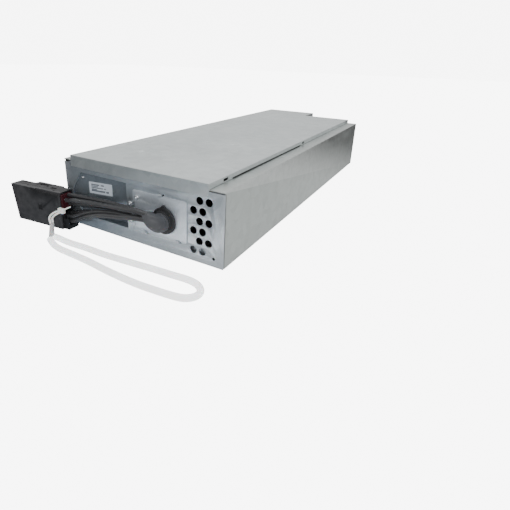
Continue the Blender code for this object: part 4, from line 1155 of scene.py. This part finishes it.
@dataclass
class Leads:
    """The six leads between the connector and the boot.

    Attributes:
        diameter: a lead's diameter.
        middles: each lead's points between its ends, as x, depth and z.
        ends: where each leaves the connector and enters the boot's mouth.
        housing_end: how far along the connector they leave it.
        tuck: how far each runs on into the boot's mouth.
    """

    diameter: float = 0.005
    middles: dict[str, tuple[Point, ...]] = field(default_factory=lambda: {
        "battery_lead_1": (
            (-0.0800, -0.0098, 0.0402), (-0.0560, -0.0090, 0.0413), (-0.0330, -0.0092, 0.0425),
            (-0.0080, -0.0112, 0.0438), (0.0130, -0.0140, 0.0448),
        ),
        "battery_lead_2": (
            (-0.0800, -0.0148, 0.0364), (-0.0560, -0.0150, 0.0392), (-0.0320, -0.0155, 0.0412),
            (-0.0050, -0.0174, 0.0440), (0.0130, -0.0194, 0.0462),
        ),
        "battery_lead_3": (
            (-0.0800, -0.0090, 0.0306), (-0.0560, -0.0078, 0.0334), (-0.0380, -0.0076, 0.0352),
            (-0.0080, -0.0082, 0.0384), (0.0130, -0.0094, 0.0416),
        ),
        "battery_lead_4": (
            (-0.0800, -0.0094, 0.0200), (-0.0560, -0.0086, 0.0264), (-0.0380, -0.0086, 0.0298),
            (-0.0080, -0.0104, 0.0332), (0.0130, -0.0120, 0.0362),
        ),
        "battery_lead_5": (
            (-0.0800, -0.0144, 0.0175), (-0.0560, -0.0141, 0.0268), (-0.0330, -0.0145, 0.0330),
            (-0.0050, -0.0158, 0.0372), (0.0130, -0.0171, 0.0392),
        ),
        "battery_lead_6": (
            (-0.0820, -0.0144, 0.0110), (-0.0680, -0.0176, 0.0176), (-0.0520, -0.0191, 0.0248),
            (-0.0300, -0.0201, 0.0314), (-0.0050, -0.0213, 0.0360), (0.0130, -0.0226, 0.0399),
        ),
    })
    ends: dict[str, tuple[Pair, Pair]] = field(default_factory=lambda: {
        "battery_lead_1": ((0.0124, 0.0390), (0.0002, 0.0027)),
        "battery_lead_2": ((0.0078, 0.0343), (-0.0053, 0.0027)),
        "battery_lead_3": ((0.0130, 0.0288), (0.0057, 0.0027)),
        "battery_lead_4": ((0.0141, 0.0167), (0.0057, -0.0027)),
        "battery_lead_5": ((0.0089, 0.0147), (0.0002, -0.0027)),
        "battery_lead_6": ((0.0078, 0.0088), (-0.0053, -0.0027)),
    })
    housing_end: float = 0.0725
    tuck: float = 0.0022

    def route(self, name: str, mouth: Section, connector: ConnectorFrame) -> list[Vector]:
        """A lead's whole route.

        Args:
            name: the lead.
            mouth: the boot's last section.
            connector: where the connector stands.

        Returns:
            The route's points in the row frame.
        """
        (across, height), (wide, tall) = self.ends[name]
        straight = self.diameter * 0.8
        start = self.housing_end + 2 * FIT_GAP
        first = connector.at(start, across, height)
        second = connector.at(start + straight, across, height)
        wide_axis, tall_axis = mouth.axes()
        last = at(*(Vector(mouth.centre) - wide_axis * wide + tall_axis * tall))
        last.x -= 1.5 * FIT_GAP
        before = last - Vector((straight, 0, 0))
        return [first, second, *(at(*p) for p in self.middles[name]), before, last]

    def build(self, gland: Gland, connector: ConnectorFrame) -> list[Cord]:
        """Makes the leads, each a little way into the pieces at its ends.

        Args:
            gland: the gland and boot.
            connector: where the connector stands.

        Returns:
            Each lead with its line.
        """
        made: list[Cord] = []
        for name in self.middles:
            route = self.route(name, gland.sections[-1], connector)
            line = smooth_line(route, 0.0022)
            line = [line[0] - (line[1] - line[0]).normalized() * 2 * FIT_GAP, *line,
                    line[-1] + Vector((self.tuck, 0, 0))]
            lead = tube(f"{name}_fine", line, self.diameter)
            made.append((link(lead, LEAD_JACKET, name), line))
        return made


# ---------------------------------------------------------------------------------------------
# The connector


@dataclass
class Connector:
    """The two shells, the contact housings and the screw.

    Attributes:
        frame: where it stands.
        length: the shells' length; not used.
        height: their height.
        screw: the screw's place along and up.
        parting: how far back the joint between the shells lies.
    """

    frame: ConnectorFrame = field(default_factory=ConnectorFrame)
    length: float = 0.0710
    height: float = 0.0440
    screw: Pair = (0.0396, 0.0220)
    parting: float = 0.0060

    def cut_shell(self, node: str, spans: Sequence[tuple[Point, Point]]) -> Obj:
        """A shell with moulded cuts and rounded edges.

        Args:
            node: the CAD node.
            spans: the corners of each cut, in the connector's own frame.

        Returns:
            The shell.
        """
        shell = copy_of(node)
        cutter = blocks(f"{node}_cuts", [(Vector(low), Vector(high)) for low, high in spans])
        turn = Matrix.Rotation(math.radians(self.frame.turn), 4, "Z")
        cutter.data.transform(Matrix.Translation(self.frame.at(0, 0, 0)) @ turn)
        cut_with(shell, cutter)
        add_bevel(shell, 0.0006, 4)
        return link(shell, SHELL_PLASTIC, node)

    def build(self) -> list[Obj]:
        """Makes every piece of the connector.

        Returns:
            The pieces.
        """
        return [self.near_shell(), self.far_shell(), *self.housings(), self.screw_head()]

    def near_shell(self) -> Obj:
        """The near shell, with its screw pocket, finger slot, latch notch and moulded lines."""
        along, up = self.screw
        skin_deep, top_deep, open_face = 0.0009, 0.0013, -0.001
        spans = [
            ((along - 0.0042, open_face, up - 0.0036), (along + 0.0040, 0.0006, up + 0.0034)),
            ((0.0470, open_face, 0.0108), (0.0550, skin_deep, 0.0124)),
            ((0.0618, open_face, 0.0206), (0.0648, skin_deep, 0.0248)),
            ((0.0648, open_face, 0.0206), (0.0672, skin_deep, 0.0218)),
            ((0.0380, open_face, 0.0412), (0.0750, top_deep, 0.0450)),
            ((0.0340, open_face, 0.0426), (0.0381, top_deep, 0.0450)),
            ((0.0150, self.parting - 0.0012, 0.0434), (0.0172, 0.007, 0.0450)),
            ((0.0560, self.parting - 0.0016, 0.0432), (0.0590, 0.007, 0.0450)),
        ]
        return self.cut_shell("connector_shell_near", spans)

    def far_shell(self) -> Obj:
        """The far shell, with ribs and a clip window along its top and its back."""
        top = self.height
        spans = [
            ((0.0240, 0.0105, top - 0.0006), (0.0255, 0.0190, top + 0.001)),
            ((0.0400, 0.0105, top - 0.0006), (0.0415, 0.0190, top + 0.001)),
            ((0.0270, 0.0125, top - 0.0010), (0.0385, 0.0172, top + 0.001)),
            ((0.0480, 0.0090, top - 0.0008), (0.0560, 0.0120, top + 0.001)),
            ((-0.008, 0.0120, top - 0.0007), (0.0120, 0.0132, top + 0.001)),
            ((0.0260, 0.0206, 0.0080), (0.0480, 0.0230, 0.0095)),
            ((0.0260, 0.0206, 0.0345), (0.0480, 0.0230, 0.0360)),
            ((0.0330, 0.0208, 0.0160), (0.0410, 0.0230, 0.0280)),
        ]
        return self.cut_shell("connector_shell_far", spans)

    def housings(self) -> list[Obj]:
        """The red and the black contact housing, with their contacts.

        Returns:
            The housings and contacts.
        """
        pieces = []
        for side, finish in (("positive", RED_PLASTIC), ("negative", BLACK_PLASTIC)):
            pieces.append(refine(f"{side}_contact_housing", finish, 0.00035))
            pieces.append(refine(f"{side}_contact", TINNED_COPPER, 0.00030))
        return pieces

    def screw_head(self) -> Obj:
        """The blackened screw in the near shell's pocket."""
        along, up = self.screw
        forward = self.frame.at(0, -1, 0) - self.frame.at(0, 0, 0)
        place = self.frame.at(along, 0.0006, up)
        profile = [
            (0.0, 0.0003), (0.0017, 0.00028), (0.0024, 0.00015), (0.0026, -0.0001), (0.0026, -0.0004),
            (0.00125, -0.0004), (0.00125, -0.0108), (0.0, -0.0108),
        ]
        head = lathe("connector_screw_fine", profile, place, forward, 40)
        turn = Matrix.Translation(place) @ forward.to_track_quat("Z", "Y").to_matrix().to_4x4()
        cut_with(head, recess_cutter("connector_recess", turn, 0.0009, 0.0004))
        return link(head, SHELL_PLASTIC, "connector_screw")


def recess_cutter(name: str, place: Matrix, reach: float, high: float) -> Obj:
    """A cross-shaped cutter for a screw's head.

    Args:
        name: the object's name.
        place: the head's seat, with Z forward.
        reach: half the cross's width.
        high: the head's height.

    Returns:
        The cutter.
    """
    cutter = blocks(name, [
        (Vector((-reach, -reach * 0.26, high * 0.35)), Vector((reach, reach * 0.26, high * 3))),
    ])
    shape = opened(cutter.data)
    other = shape.copy()
    bmesh.ops.rotate(other, verts=other.verts, cent=(0, 0, 0), matrix=Matrix.Rotation(math.pi / 2, 3, "Z"))
    extra = bpy.data.meshes.new(f"{name}_b")
    other.to_mesh(extra)
    shape.from_mesh(extra)
    shape.to_mesh(cutter.data)
    shape.free()
    other.free()
    cutter.data.transform(place)
    return cutter


# ---------------------------------------------------------------------------------------------
# The case


@dataclass
class Case:
    """The tray, the cover and its dents, and the screws in its back lips.

    Attributes:
        sheet: the sheet's thickness.
        bend: the radius of its folded edges.
        dents: each dent's x and depth, its half sizes, its turn in degrees and how deep it is.
        welds: the spot welds on the right wall, as depth and z.
    """

    sheet: float = 0.001
    bend: float = 0.0007
    dents: tuple[tuple[float, float, float, float, float, float], ...] = (
        (-0.041, 0.060, 0.0060, 0.0050, 20, 0.00130), (-0.031, 0.068, 0.0085, 0.0042, -15, 0.00100),
        (-0.021, 0.058, 0.0055, 0.0046, 10, 0.00120), (-0.005, 0.060, 0.0070, 0.0038, -10, 0.00090),
        (0.010, 0.058, 0.0070, 0.0038, 15, 0.00085), (0.003, 0.090, 0.0050, 0.0040, 0, 0.00070),
        (-0.014, 0.155, 0.0095, 0.0060, 35, 0.00120), (0.002, 0.168, 0.0090, 0.0055, 25, 0.00120),
        (0.028, 0.161, 0.0075, 0.0055, -20, 0.00080), (-0.055, 0.0085, 0.0045, 0.0028, 0, 0.00040),
        (-0.030, 0.330, 0.0400, 0.0600, 0, 0.00030), (0.045, 0.260, 0.0300, 0.0500, 0, 0.00025),
    )
    welds: tuple[Pair, ...] = ((0.0075, 0.0640), (0.0070, 0.0130), (0.0072, 0.0385))

    def build(self) -> None:
        """Makes the tray, the cover and the screws."""
        self.tray()
        self.cover()
        self.screws()

    def tray(self) -> None:
        """The tray, with rounded folds and pressed spot welds."""
        tray = copy_of("base_tray")
        left, right = (corner.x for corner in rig.box("base_tray"))
        for side, wall in ((1, right), (-1, left)):
            for depth, z in self.welds:
                sphere = mesh_object("weld", lambda shape, s=side, w=wall, d=depth, h=z: (
                    bmesh.ops.create_uvsphere(
                        shape, u_segments=32, v_segments=16, radius=0.0080,
                        matrix=Matrix.Translation(at(w + s * 0.00785, d, h)),
                    )
                ))
                cut_with(tray, sphere)
        seam = blocks("seam", [(at(right - 0.0015, -0.001, -0.001), at(right + 0.001, 0.0023, 0.0763))])
        cut_with(tray, seam)
        add_bevel(tray, self.bend, 3)
        link(tray, TRAY_ZINC, "base_tray")

    def cover(self) -> None:
        """The cover, with a finely divided top that carries its dents."""
        cover = copy_of("top_cover")
        low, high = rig.box("top_cover")
        shape = opened(cover.data)
        dented = low.y + 0.18
        rows = ((low.x, high.x, 90, 0), (low.y, dented, 110, 1), (dented, high.y, 40, 1))
        for start, end, count, axis in rows:
            normal = Vector((1, 0, 0)) if axis == 0 else Vector((0, 1, 0))
            for i in range(1, count):
                place = Vector((0, 0, 0))
                place[axis] = start + (end - start) * i / count
                everything = shape.verts[:] + shape.edges[:] + shape.faces[:]
                bmesh.ops.bisect_plane(shape, geom=everything, plane_co=place, plane_no=normal)
        edge = 0.006
        for vertex in shape.verts:
            inside = low.x + edge < vertex.co.x < high.x - edge and vertex.co.y > low.y + edge
            if inside and vertex.co.z > high.z - 1.5 * self.sheet:
                vertex.co.z -= self.dent_depth(vertex.co)
        write_shape(shape, cover.data)
        add_bevel(cover, self.bend, 3, 50)
        link(cover, COVER_ZINC, "top_cover")

    def dent_depth(self, point: Vector) -> float:
        """How far the cover's top is pressed in at a point."""
        total = 0.0
        for x, depth, long, wide, turn, deep in self.dents:
            offset = point - at(x, depth, 0)
            c, s = math.cos(math.radians(turn)), math.sin(math.radians(turn))
            a = (offset.x * c + offset.y * s) / long
            b = (offset.y * c - offset.x * s) / wide
            total += deep * math.exp(-((a * a + b * b) ** 1.6))
        return total

    def screws(self) -> None:
        """The screws in the cover's back lips."""
        for letter in "abc":
            node = f"cover_screw_{letter}"
            low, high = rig.box(node)
            centre = (low + high) / 2
            seat = Vector((centre.x, high.y - PAN_HEIGHT, centre.z))
            pan_screw(node, seat, Vector((0, 1, 0)))


def pan_screw(node: str, seat: Vector, forward: Vector) -> None:
    """Puts a pan-head screw with a cross recess in the place of its CAD node.

    Args:
        node: the CAD node.
        seat: the middle of the head's underside.
        forward: the way that the head points.
    """
    r, h, shank, reach = 0.0027, PAN_HEIGHT, 0.00125, 0.006
    profile = [
        (0.0, h), (0.30 * r, 0.985 * h), (0.55 * r, 0.93 * h), (0.76 * r, 0.80 * h), (0.90 * r, 0.60 * h),
        (0.98 * r, 0.34 * h), (r, 0.15 * h), (0.99 * r, 0.03 * h), (0.96 * r, 0.0), (shank, 0.0),
    ]
    threads = 14
    for i in range(threads):
        z = -reach * (i + 0.5) / threads
        profile += [(shank * 0.86, z), (shank, z - reach * 0.5 / threads)]
    profile += [(shank * 0.6, -reach), (0.0, -reach)]
    screw = lathe(f"{node}_fine", profile, seat, forward, 48)
    turn = Matrix.Translation(seat) @ forward.to_track_quat("Z", "Y").to_matrix().to_4x4()
    cut_with(screw, recess_cutter(f"{node}_recess", turn @ Matrix.Rotation(0.5, 4, "Z"), 0.0013, h * 0.9))
    link(screw, SCREW_ZINC, node)


@dataclass
class Front:
    """The front panel, the gland plate with its hooks, the recess and the label in it.

    Attributes:
        half_width: half the panel's width.
        top: the panel's height.
        sheet: its thickness.
        vent: a vent's radius.
        vent_pitch: the distance between vents.
        vent_shift: how far every other row is shifted.
        vent_first: the top right row's left vent.
        window: the opening over the recess.
        plate: the gland plate's left, right, bottom and top.
        plate_depths: the plate's front and back.
        hooks: each hook's x, and 1 for the top or -1 for the bottom.
        hook_width: a hook's width.
        hook_reach: how far a hook reaches over the plate.
        gland: the gland's middle.
        gland_hole: the radius of the holes that the gland goes through.
        screws: the screw nodes on the panel.
        screw_hole: the radius of their holes.
        pin_hole: the small hole low on the right.
    """

    half_width: float = 0.1075
    top: float = 0.0762
    sheet: float = 0.001
    vent: float = 0.004
    vent_pitch: float = 0.0105
    vent_shift: float = 0.007
    vent_first: Pair = (0.080, 0.0652)
    window: tuple[Pair, ...] = (
        (-0.082, 0.014), (-0.013, 0.014), (-0.013, 0.0655),
        (-0.082, 0.0655), (-0.097, 0.043), (-0.097, 0.034),
    )
    plate: tuple[float, float, float, float] = (-0.003, 0.066, 0.0163, 0.0615)
    plate_depths: Pair = (-0.0015, -0.0003)
    hooks: tuple[tuple[float, int], ...] = ((0.0340, 1), (0.0132, -1), (0.0556, -1))
    hook_width: float = 0.004
    hook_reach: float = 0.0016
    gland: Pair = (0.0388, 0.0360)
    gland_hole: float = 0.0103
    screws: tuple[str, ...] = ("panel_screw_upper", "panel_screw_lower", "panel_screw_left", "plate_screw")
    screw_hole: float = 0.00155
    pin_hole: Pair = (0.0967, 0.0087)

    def screw_places(self) -> dict[str, Vector]:
        """Where each screw's head is seated."""
        places = {}
        for node in self.screws:
            low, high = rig.box(node)
            places[node] = Vector(((low.x + high.x) / 2, low.y + PAN_HEIGHT, (low.z + high.z) / 2))
        return places

    def build(self) -> None:
        """Makes the front's pieces."""
        self.panel()
        self.returns()
        self.gland_plate()
        self.hook_strips()
        # The lead pocket takes zinc darkened with painted shade.
        refine("lead_pocket", POCKET_ZINC_PAINTED_SHADE, 0.0004)
        for node, seat in self.screw_places().items():
            pan_screw(node, seat, Vector((0, -1, 0)))
        self.label()
        self.rivet()

    def edge(self, side: int) -> float:
        """The height of the plate's top edge, for 1, or of its bottom edge, for -1."""
        return self.plate[3] if side > 0 else self.plate[2]

    def vents(self) -> list[Outline]:
        """The vents' outlines."""
        (x, z), pitch = self.vent_first, self.vent_pitch
        return [
            circle(x + column * pitch - row % 2 * self.vent_shift, z - row * pitch, self.vent)
            for row in range(6)
            for column in range(2)
        ]

    def lances(self) -> list[Outline]:
        """The slots that the hooks were bent out of."""
        slots = []
        for x, side in self.hooks:
            edge = self.edge(side)
            low, high = sorted((edge - side * self.hook_reach, edge + side * (FIT_GAP + 1.2 * self.sheet)))
            half = self.hook_width / 2 + 1.4 * self.sheet
            slots.append(rectangle(x - half, x + half, low, high, 0.0003))
        return slots

    def panel(self) -> None:
        """The panel itself, with every hole that the sheet has."""
        half, notch, deep = self.half_width, 0.0075, 0.0013
        outer = [
            (half, 0.0), (half, self.top), (-half + notch, self.top), (-half + notch, self.top - deep),
            (-half, self.top - deep), (-half, 0.0),
        ]
        small = [circle(p.x, p.z, self.screw_hole, 20) for p in self.screw_places().values()]
        holes = [
            list(self.window), *self.vents(), *self.lances(), *small,
            circle(*self.gland, self.gland_hole, 64), circle(*self.pin_hole, 0.0016, 24),
        ]
        panel = sheet_metal("front_panel_fine", [outer, *holes], 0.0, self.sheet, 0.00018)
        link(panel, PANEL_ZINC, "front_panel")

    def returns(self) -> None:
        """The panel's turned-in side and bottom edges."""
        inner = self.half_width - self.sheet - FIT_GAP
        spans = [
            (at(-inner, 0.0009, 0.005), at(-inner + self.sheet, 0.012, 0.072)),
            (at(inner - 2 * self.sheet, 0.0009, 0.005), at(inner - self.sheet, 0.012, 0.072)),
            (at(-inner + 0.004, 0.0009, 0.0013), at(inner - 0.004, 0.012, 0.0023)),
        ]
        low_x = self.vent_first[0] - self.vent_shift
        spans.append((at(low_x - 0.008, 0.0048, 0.0020), at(low_x + 0.018, 0.0056, 0.0175)))
        strips = blocks("front_panel_returns", spans)
        add_bevel(strips, 0.00025, 2)
        link(strips, PANEL_ZINC, "front_panel", replaces=False)

    def gland_plate(self) -> None:
        """The plate that carries the gland, with notches beside the panel's screws."""
        left, right, bottom, top = self.plate
        outline = rectangle(left, right, bottom, top, 0.003)
        seats = self.screw_places()
        half, wide = 0.0035, 0.0025
        middle = ((left + right) / 2, (bottom + top) / 2)
        corners = {(a, b): [] for a in (True, False) for b in (True, False)}
        for point in outline:
            corners[point[0] >= middle[0], point[1] > middle[1]].append(point)
        notched = []
        for node in ("panel_screw_upper", "panel_screw_lower"):
            z = seats[node].z
            notched += [(left, z + half), (left + wide, z + half), (left + wide, z - half), (left, z - half)]
        whole = [
            *corners[True, True], *self.bites(1), *corners[False, True], *notched,
            *corners[False, False], *self.bites(-1), *corners[True, False],
        ]
        screw = seats["plate_screw"]
        holes = [circle(*self.gland, self.gland_hole, 64), circle(screw.x, screw.z, self.screw_hole, 20)]
        plate = sheet_metal("gland_plate_fine", [whole, *holes], *self.plate_depths, 0.0002)
        link(plate, PLATE_ZINC, "gland_plate")

    def bites(self, side: int) -> Outline:
        """The small bites in the plate's edge beside each hook.

        Args:
            side: 1 for the top edge, -1 for the bottom.

        Returns:
            The outline's points, leftwards along the top edge or rightwards along the bottom.
        """
        edge = self.edge(side)
        deep, inner, outer = side * 0.0010, self.hook_width / 2 + 0.0001, self.hook_width / 2 + 0.0013
        points: Outline = []
        for x in sorted((x for x, s in self.hooks if s == side), reverse=side > 0):
            for near, far in ((-side * -outer, -side * -inner), (-side * inner, -side * outer)):
                points += [(x + near, edge), (x + near, edge - deep), (x + far, edge - deep), (x + far, edge)]
        return points

    def hook_strips(self) -> None:
        """The three hooks bent over the gland plate's edges."""
        half, bend = self.sheet / 2, 0.0006
        for number, (x, side) in enumerate(self.hooks, 1):
            edge = self.edge(side)
            stem = edge + side * (FIT_GAP + half)
            outer = self.plate_depths[0] - FIT_GAP - half
            line = [
                (self.sheet * 0.9, stem), (outer + bend, stem),
                (outer + bend * 0.45, stem - side * bend * 0.12),
                (outer + bend * 0.12, stem - side * bend * 0.45),
                (outer, stem - side * bend), (outer, edge - side * self.hook_reach),
            ]
            strip = bent_strip(f"panel_hook_{number}", line, x, self.hook_width, self.sheet)
            link(strip, PANEL_ZINC, "front_panel", replaces=False)

    def label(self) -> None:
        """The blank film label with plain bars for its printed rows."""
        film = copy_of("front_label")
        add_bevel(film, 0.00012, 2)
        link(film, LABEL_FILM, "front_label")
        low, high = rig.box("front_label")
        run, rise = high.x - low.x, high.y - low.y - 0.0003
        slope = Vector((run, rise, 0)).normalized()
        normal = Vector((slope.y, -slope.x, 0))
        corner = Vector((low.x, low.y, low.z)) + normal * 0.00001
        rows = (
            (0.78, 0.10, 0.46, 0.055), (0.78, 0.52, 0.66, 0.055), (0.64, 0.10, 0.40, 0.04),
            (0.52, 0.10, 0.62, 0.04), (0.52, 0.66, 0.74, 0.04), (0.38, 0.10, 0.34, 0.04),
            (0.26, 0.10, 0.70, 0.07), (0.26, 0.74, 0.86, 0.07),
        )
        height = high.z - low.z

        def build(shape: Shape) -> None:
            """Adds each bar, turned to the film's slope."""
            for level, start, end, thick in rows:
                a = corner + slope * run * start
                b = corner + slope * run * end
                ends = []
                for z in (low.z + height * (level - thick), low.z + height * (level + thick)):
                    for point in (a, b):
                        for lift in (0.00004, -0.00008):
                            spot = point + normal * lift
                            ends.append(shape.verts.new((spot.x, spot.y, z)))
                bmesh.ops.convex_hull(shape, input=ends)

        bars = mesh_object("front_label_bars", build)
        link(bars, LABEL_INK, "front_label", replaces=False)

    def rivet(self) -> None:
        """The small rivet in the recess."""
        low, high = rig.box("pocket_rivet")
        centre = (low + high) / 2
        forward = Vector((0.168, -0.986, 0)).normalized()
        r = 0.0016
        place = Vector((centre.x, high.y - 0.0002, centre.z))
        profile = [
            (0.0, 0.62 * r), (0.35 * r, 0.58 * r), (0.7 * r, 0.42 * r), (0.92 * r, 0.22 * r),
            (0.98 * r, 0.05 * r), (0.98 * r, -0.02 * r), (0.0, -0.02 * r),
        ]
        link(lathe("pocket_rivet_fine", profile, place, forward, 40), SCREW_ZINC, "pocket_rivet")


# ---------------------------------------------------------------------------------------------
# The pull loop


@dataclass
class PullLoop:
    """The cable tie on the connector's leads, the collar and the vinyl tube.

    Attributes:
        tube_diameter: the loop's diameter.
        route: the loop's points, as x, depth and z.
        strands: the tie's two strands between its head and the collar.
        tail: the tie's free end.
        head: the tie's head, as its lowest and highest corner.
        strap_thick: the thickness of the tie's strap.
        strap_section: the strap's cross-section, in half widths and half thicknesses.
    """

    tube_diameter: float = 0.0066
    route: tuple[Point, ...] = (
        (-0.0812, -0.0444, 0.0036), (-0.0745, -0.0443, 0.0036), (-0.0543, -0.0455, 0.0036),
        (-0.0297, -0.0442, 0.0036), (-0.0044, -0.0440, 0.0036), (0.0247, -0.0418, 0.0036),
        (0.0518, -0.0394, 0.0036), (0.0780, -0.0376, 0.0036), (0.0915, -0.0366, 0.0036),
        (0.1025, -0.0381, 0.0036), (0.1108, -0.0436, 0.0036), (0.1136, -0.0510, 0.0036),
        (0.1105, -0.0583, 0.0036), (0.1020, -0.0630, 0.0036), (0.0805, -0.0655, 0.0036),
        (0.0552, -0.0666, 0.0036), (0.0253, -0.0652, 0.0036), (-0.0098, -0.0619, 0.0036),
        (-0.0359, -0.0607, 0.0036), (-0.0510, -0.0600, 0.0036), (-0.0625, -0.0577, 0.0036),
        (-0.0710, -0.0543, 0.0036), (-0.0778, -0.0513, 0.0036),
    )
    strands: tuple[tuple[Point, ...], ...] = (
        ((-0.0912, -0.0258, 0.0252), (-0.0928, -0.0305, 0.0246), (-0.0912, -0.0372, 0.0238),
         (-0.0864, -0.0430, 0.0232), (-0.0814, -0.0462, 0.0217), (-0.0799, -0.0470, 0.0199)),
        ((-0.0880, -0.0258, 0.0245), (-0.0898, -0.0300, 0.0234), (-0.0888, -0.0356, 0.0226),
         (-0.0848, -0.0408, 0.0224), (-0.0808, -0.0436, 0.0213), (-0.0798, -0.0442, 0.0199)),
    )
    tail: tuple[Point, ...] = (
        (-0.0862, -0.0256, 0.0262), (-0.0800, -0.0252, 0.0298), (-0.0738, -0.0246, 0.0330),
    )
    head: tuple[Point, Point] = ((-0.0924, -0.0277, 0.0228), (-0.0842, -0.0236, 0.0284))
    strap_thick: float = 0.0011
    strap_section: tuple[Pair, ...] = (
        (1, 0.4), (0.86, 1), (-0.86, 1), (-1, 0.4), (-1, -0.4), (-0.86, -1), (0.86, -1), (1, -0.4),
    )

    def build(self) -> Cord:
        """Makes the tie, the collar and the loop.

        Returns:
            The loop and its line.
        """
        self.tie()
        self.collar()
        line = smooth_line([at(*p) for p in self.route], 0.0030)
        loop = tube("pull_loop_fine", line, self.tube_diameter, 10)
        return link(loop, VINYL, "pull_loop", LOOP), line

    def strap(self, name: str, points: Sequence[Point], wide: float, tail: bool = False) -> None:
        """A flat strap along a route.

        Args:
            name: the object's name.
            points: the route, as x, depth and z.
            wide: its width.
            tail: whether it is notched and tapers to a free end.
        """
        line = smooth_line([at(*p) for p in points], 0.0008)
        rings = []
        for i, point in enumerate(line):
            along = (line[min(i + 1, len(line) - 1)] - line[max(i - 1, 0)]).normalized()
            side = along.cross(Vector((0.35, 0.2, 1))).normalized()
            up = side.cross(along).normalized()
            notch = 0.86 if i % 2 and tail else 1.0
            taper = min(1.0, 0.55 + (len(line) - 1 - i) * 0.12) if tail else 1.0
            w, t = wide / 2 * taper, self.strap_thick / 2 * notch
            rings.append([point + side * a * w + up * b * t for a, b in self.strap_section])
        link(skin(name, rings, 40), NYLON, "cable_tie", replaces=False)

    def tie(self) -> None:
        """The tie's head with its window, its strands and its tail."""
        low, high = (at(*p) for p in self.head)
        head = blocks("cable_tie_head", [(low, high)])
        middle = (low + high) / 2
        window = blocks("tie_window", [
            (Vector((middle.x - 0.0022, low.y - 0.001, middle.z - 0.0012)),
             Vector((middle.x + 0.0020, low.y + 0.0016, middle.z + 0.0012))),
        ])
        cut_with(head, window)
        add_bevel(head, 0.0006, 3)
        link(head, NYLON, "cable_tie")
        for number, strand in enumerate(self.strands, 1):
            self.strap(f"cable_tie_strand_{number}", strand, 0.0021)
        self.strap("cable_tie_tail", self.tail, 0.0026, tail=True)

    def collar(self) -> None:
        """The shrunk sleeve that gathers the loop's two ends."""
        bottom, top = Vector((-0.0795, -0.0478, 0.0058)), Vector((-0.0797, -0.0456, 0.0188))
        turn = math.radians(30)
        across = Vector((math.cos(turn), math.sin(turn), 0))
        along = Vector((-math.sin(turn), math.cos(turn), 0))
        rings = []
        rows = 26
        for i in range(rows + 1):
            share = i / rows
            centre = bottom.lerp(top, share)
            end = min(share, 1 - share) * rows
            rim = 1.0 if end > 1.5 else 0.90 + 0.05 * end
            wide = 0.0025 + (0.0021 - 0.0025) * share
            deep = 0.0052 + (0.0032 - 0.0052) * share ** 0.7
            ripple = 1 + 0.02 * math.sin(share * 40)
            ring = []
            for k in range(48):
                a = 2 * math.pi * k / 48
                crease = 1 - 0.14 * math.exp(-((math.sin(a)) / 0.35) ** 2) * (1 - share)
                flat = across * wide * rim * ripple * math.cos(a) * crease + along * deep * rim * math.sin(a)
                ring.append(at(*(centre + flat)))
            rings.append(ring)
        link(skin("loop_collar_fine", rings, 50), SLEEVE, "loop_collar", LOOP)


# ---------------------------------------------------------------------------------------------
# Inside the case


@dataclass
class Inside:
    """The batteries and what joins, holds and insulates them.

    Attributes:
        finishes: the finish and edge rounding of each CAD node, by the start of its name.
    """

    finishes: tuple[tuple[str, Finish, float], ...] = (
        ("battery_block", CASE_PLASTIC, 0.0), ("link_", TINNED_COPPER, 0.0002), ("foam_", FOAM, 0.0008),
        ("centre_insulator", FISH_PAPER, 0.0), ("block_retainer", TRAY_ZINC, 0.0004),
        ("fuse_holder", BLACK_PLASTIC, 0.0006), ("fuse", CERAMIC, 0.0008), ("inner_lead", LEAD_JACKET, 0.0),
    )

    def build(self) -> None:
        """Dresses or refines each hidden node."""
        done: set[str] = set()
        for start, finish, width in self.finishes:
            for node in sorted(frame["nodes"]):
                if not node.startswith(start) or node in done:
                    continue
                done.add(node)
                if width:
                    refine(node, finish, width, 2)
                else:
                    self.dress(node, finish)

    def dress(self, node: str, finish: Finish) -> None:
        """Gives a CAD node its finish."""
        obj = frame["nodes"][node]
        obj.data.materials.clear()
        obj.data.materials.append(finish.material())
        LOG.info("%s keeps its shape", node)


# ---------------------------------------------------------------------------------------------
# The whole object


def declare_cords(leads: Sequence[Cord], loop: Cord, connector: Sequence[Obj]) -> None:
    """Says which pieces are cords, and how long and thick they are.

    Args:
        leads: the leads with their lines.
        loop: the pull loop with its line.
        connector: the connector's pieces.
    """
    for number, (lead, line) in enumerate(leads):
        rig.cord(
            lead, exit=line[-1], length=line_length(line), diameter=0.005, far_end="connector",
            stiffness="medium", lay="loose", with_pieces=list(connector) if number == 0 else connector[2:3],
        )
    tube_piece, line = loop
    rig.cord(
        tube_piece, exit=line[0], length=line_length(line), diameter=0.0066, far_end="object",
        stiffness="limp", lay="loose",
    )


def main() -> None:
    """Builds the object, piece by piece, and writes its size."""
    spangle_group()
    grain_group()
    wear_group()
    Studio().build()
    gland = Gland()
    connector = Connector()
    leads = Leads().build(gland, connector.frame)
    loop = PullLoop().build()
    pieces = connector.build()
    declare_cords(leads, loop, pieces)
    gland.build()
    Case().build()
    Front().build()
    Inside().build()
    bpy.context.view_layer.update()
    with open(SIZE_FILE, "w") as out:
        json.dump({"cad": [list(c) for c in CAD_BOUNDS], "visual": [list(c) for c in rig.bounds()]}, out)
    LOG.info("sizes written")


if __name__ == "__main__":
    logging.basicConfig(level=logging.INFO, format="%(name)s: %(message)s")
    main()
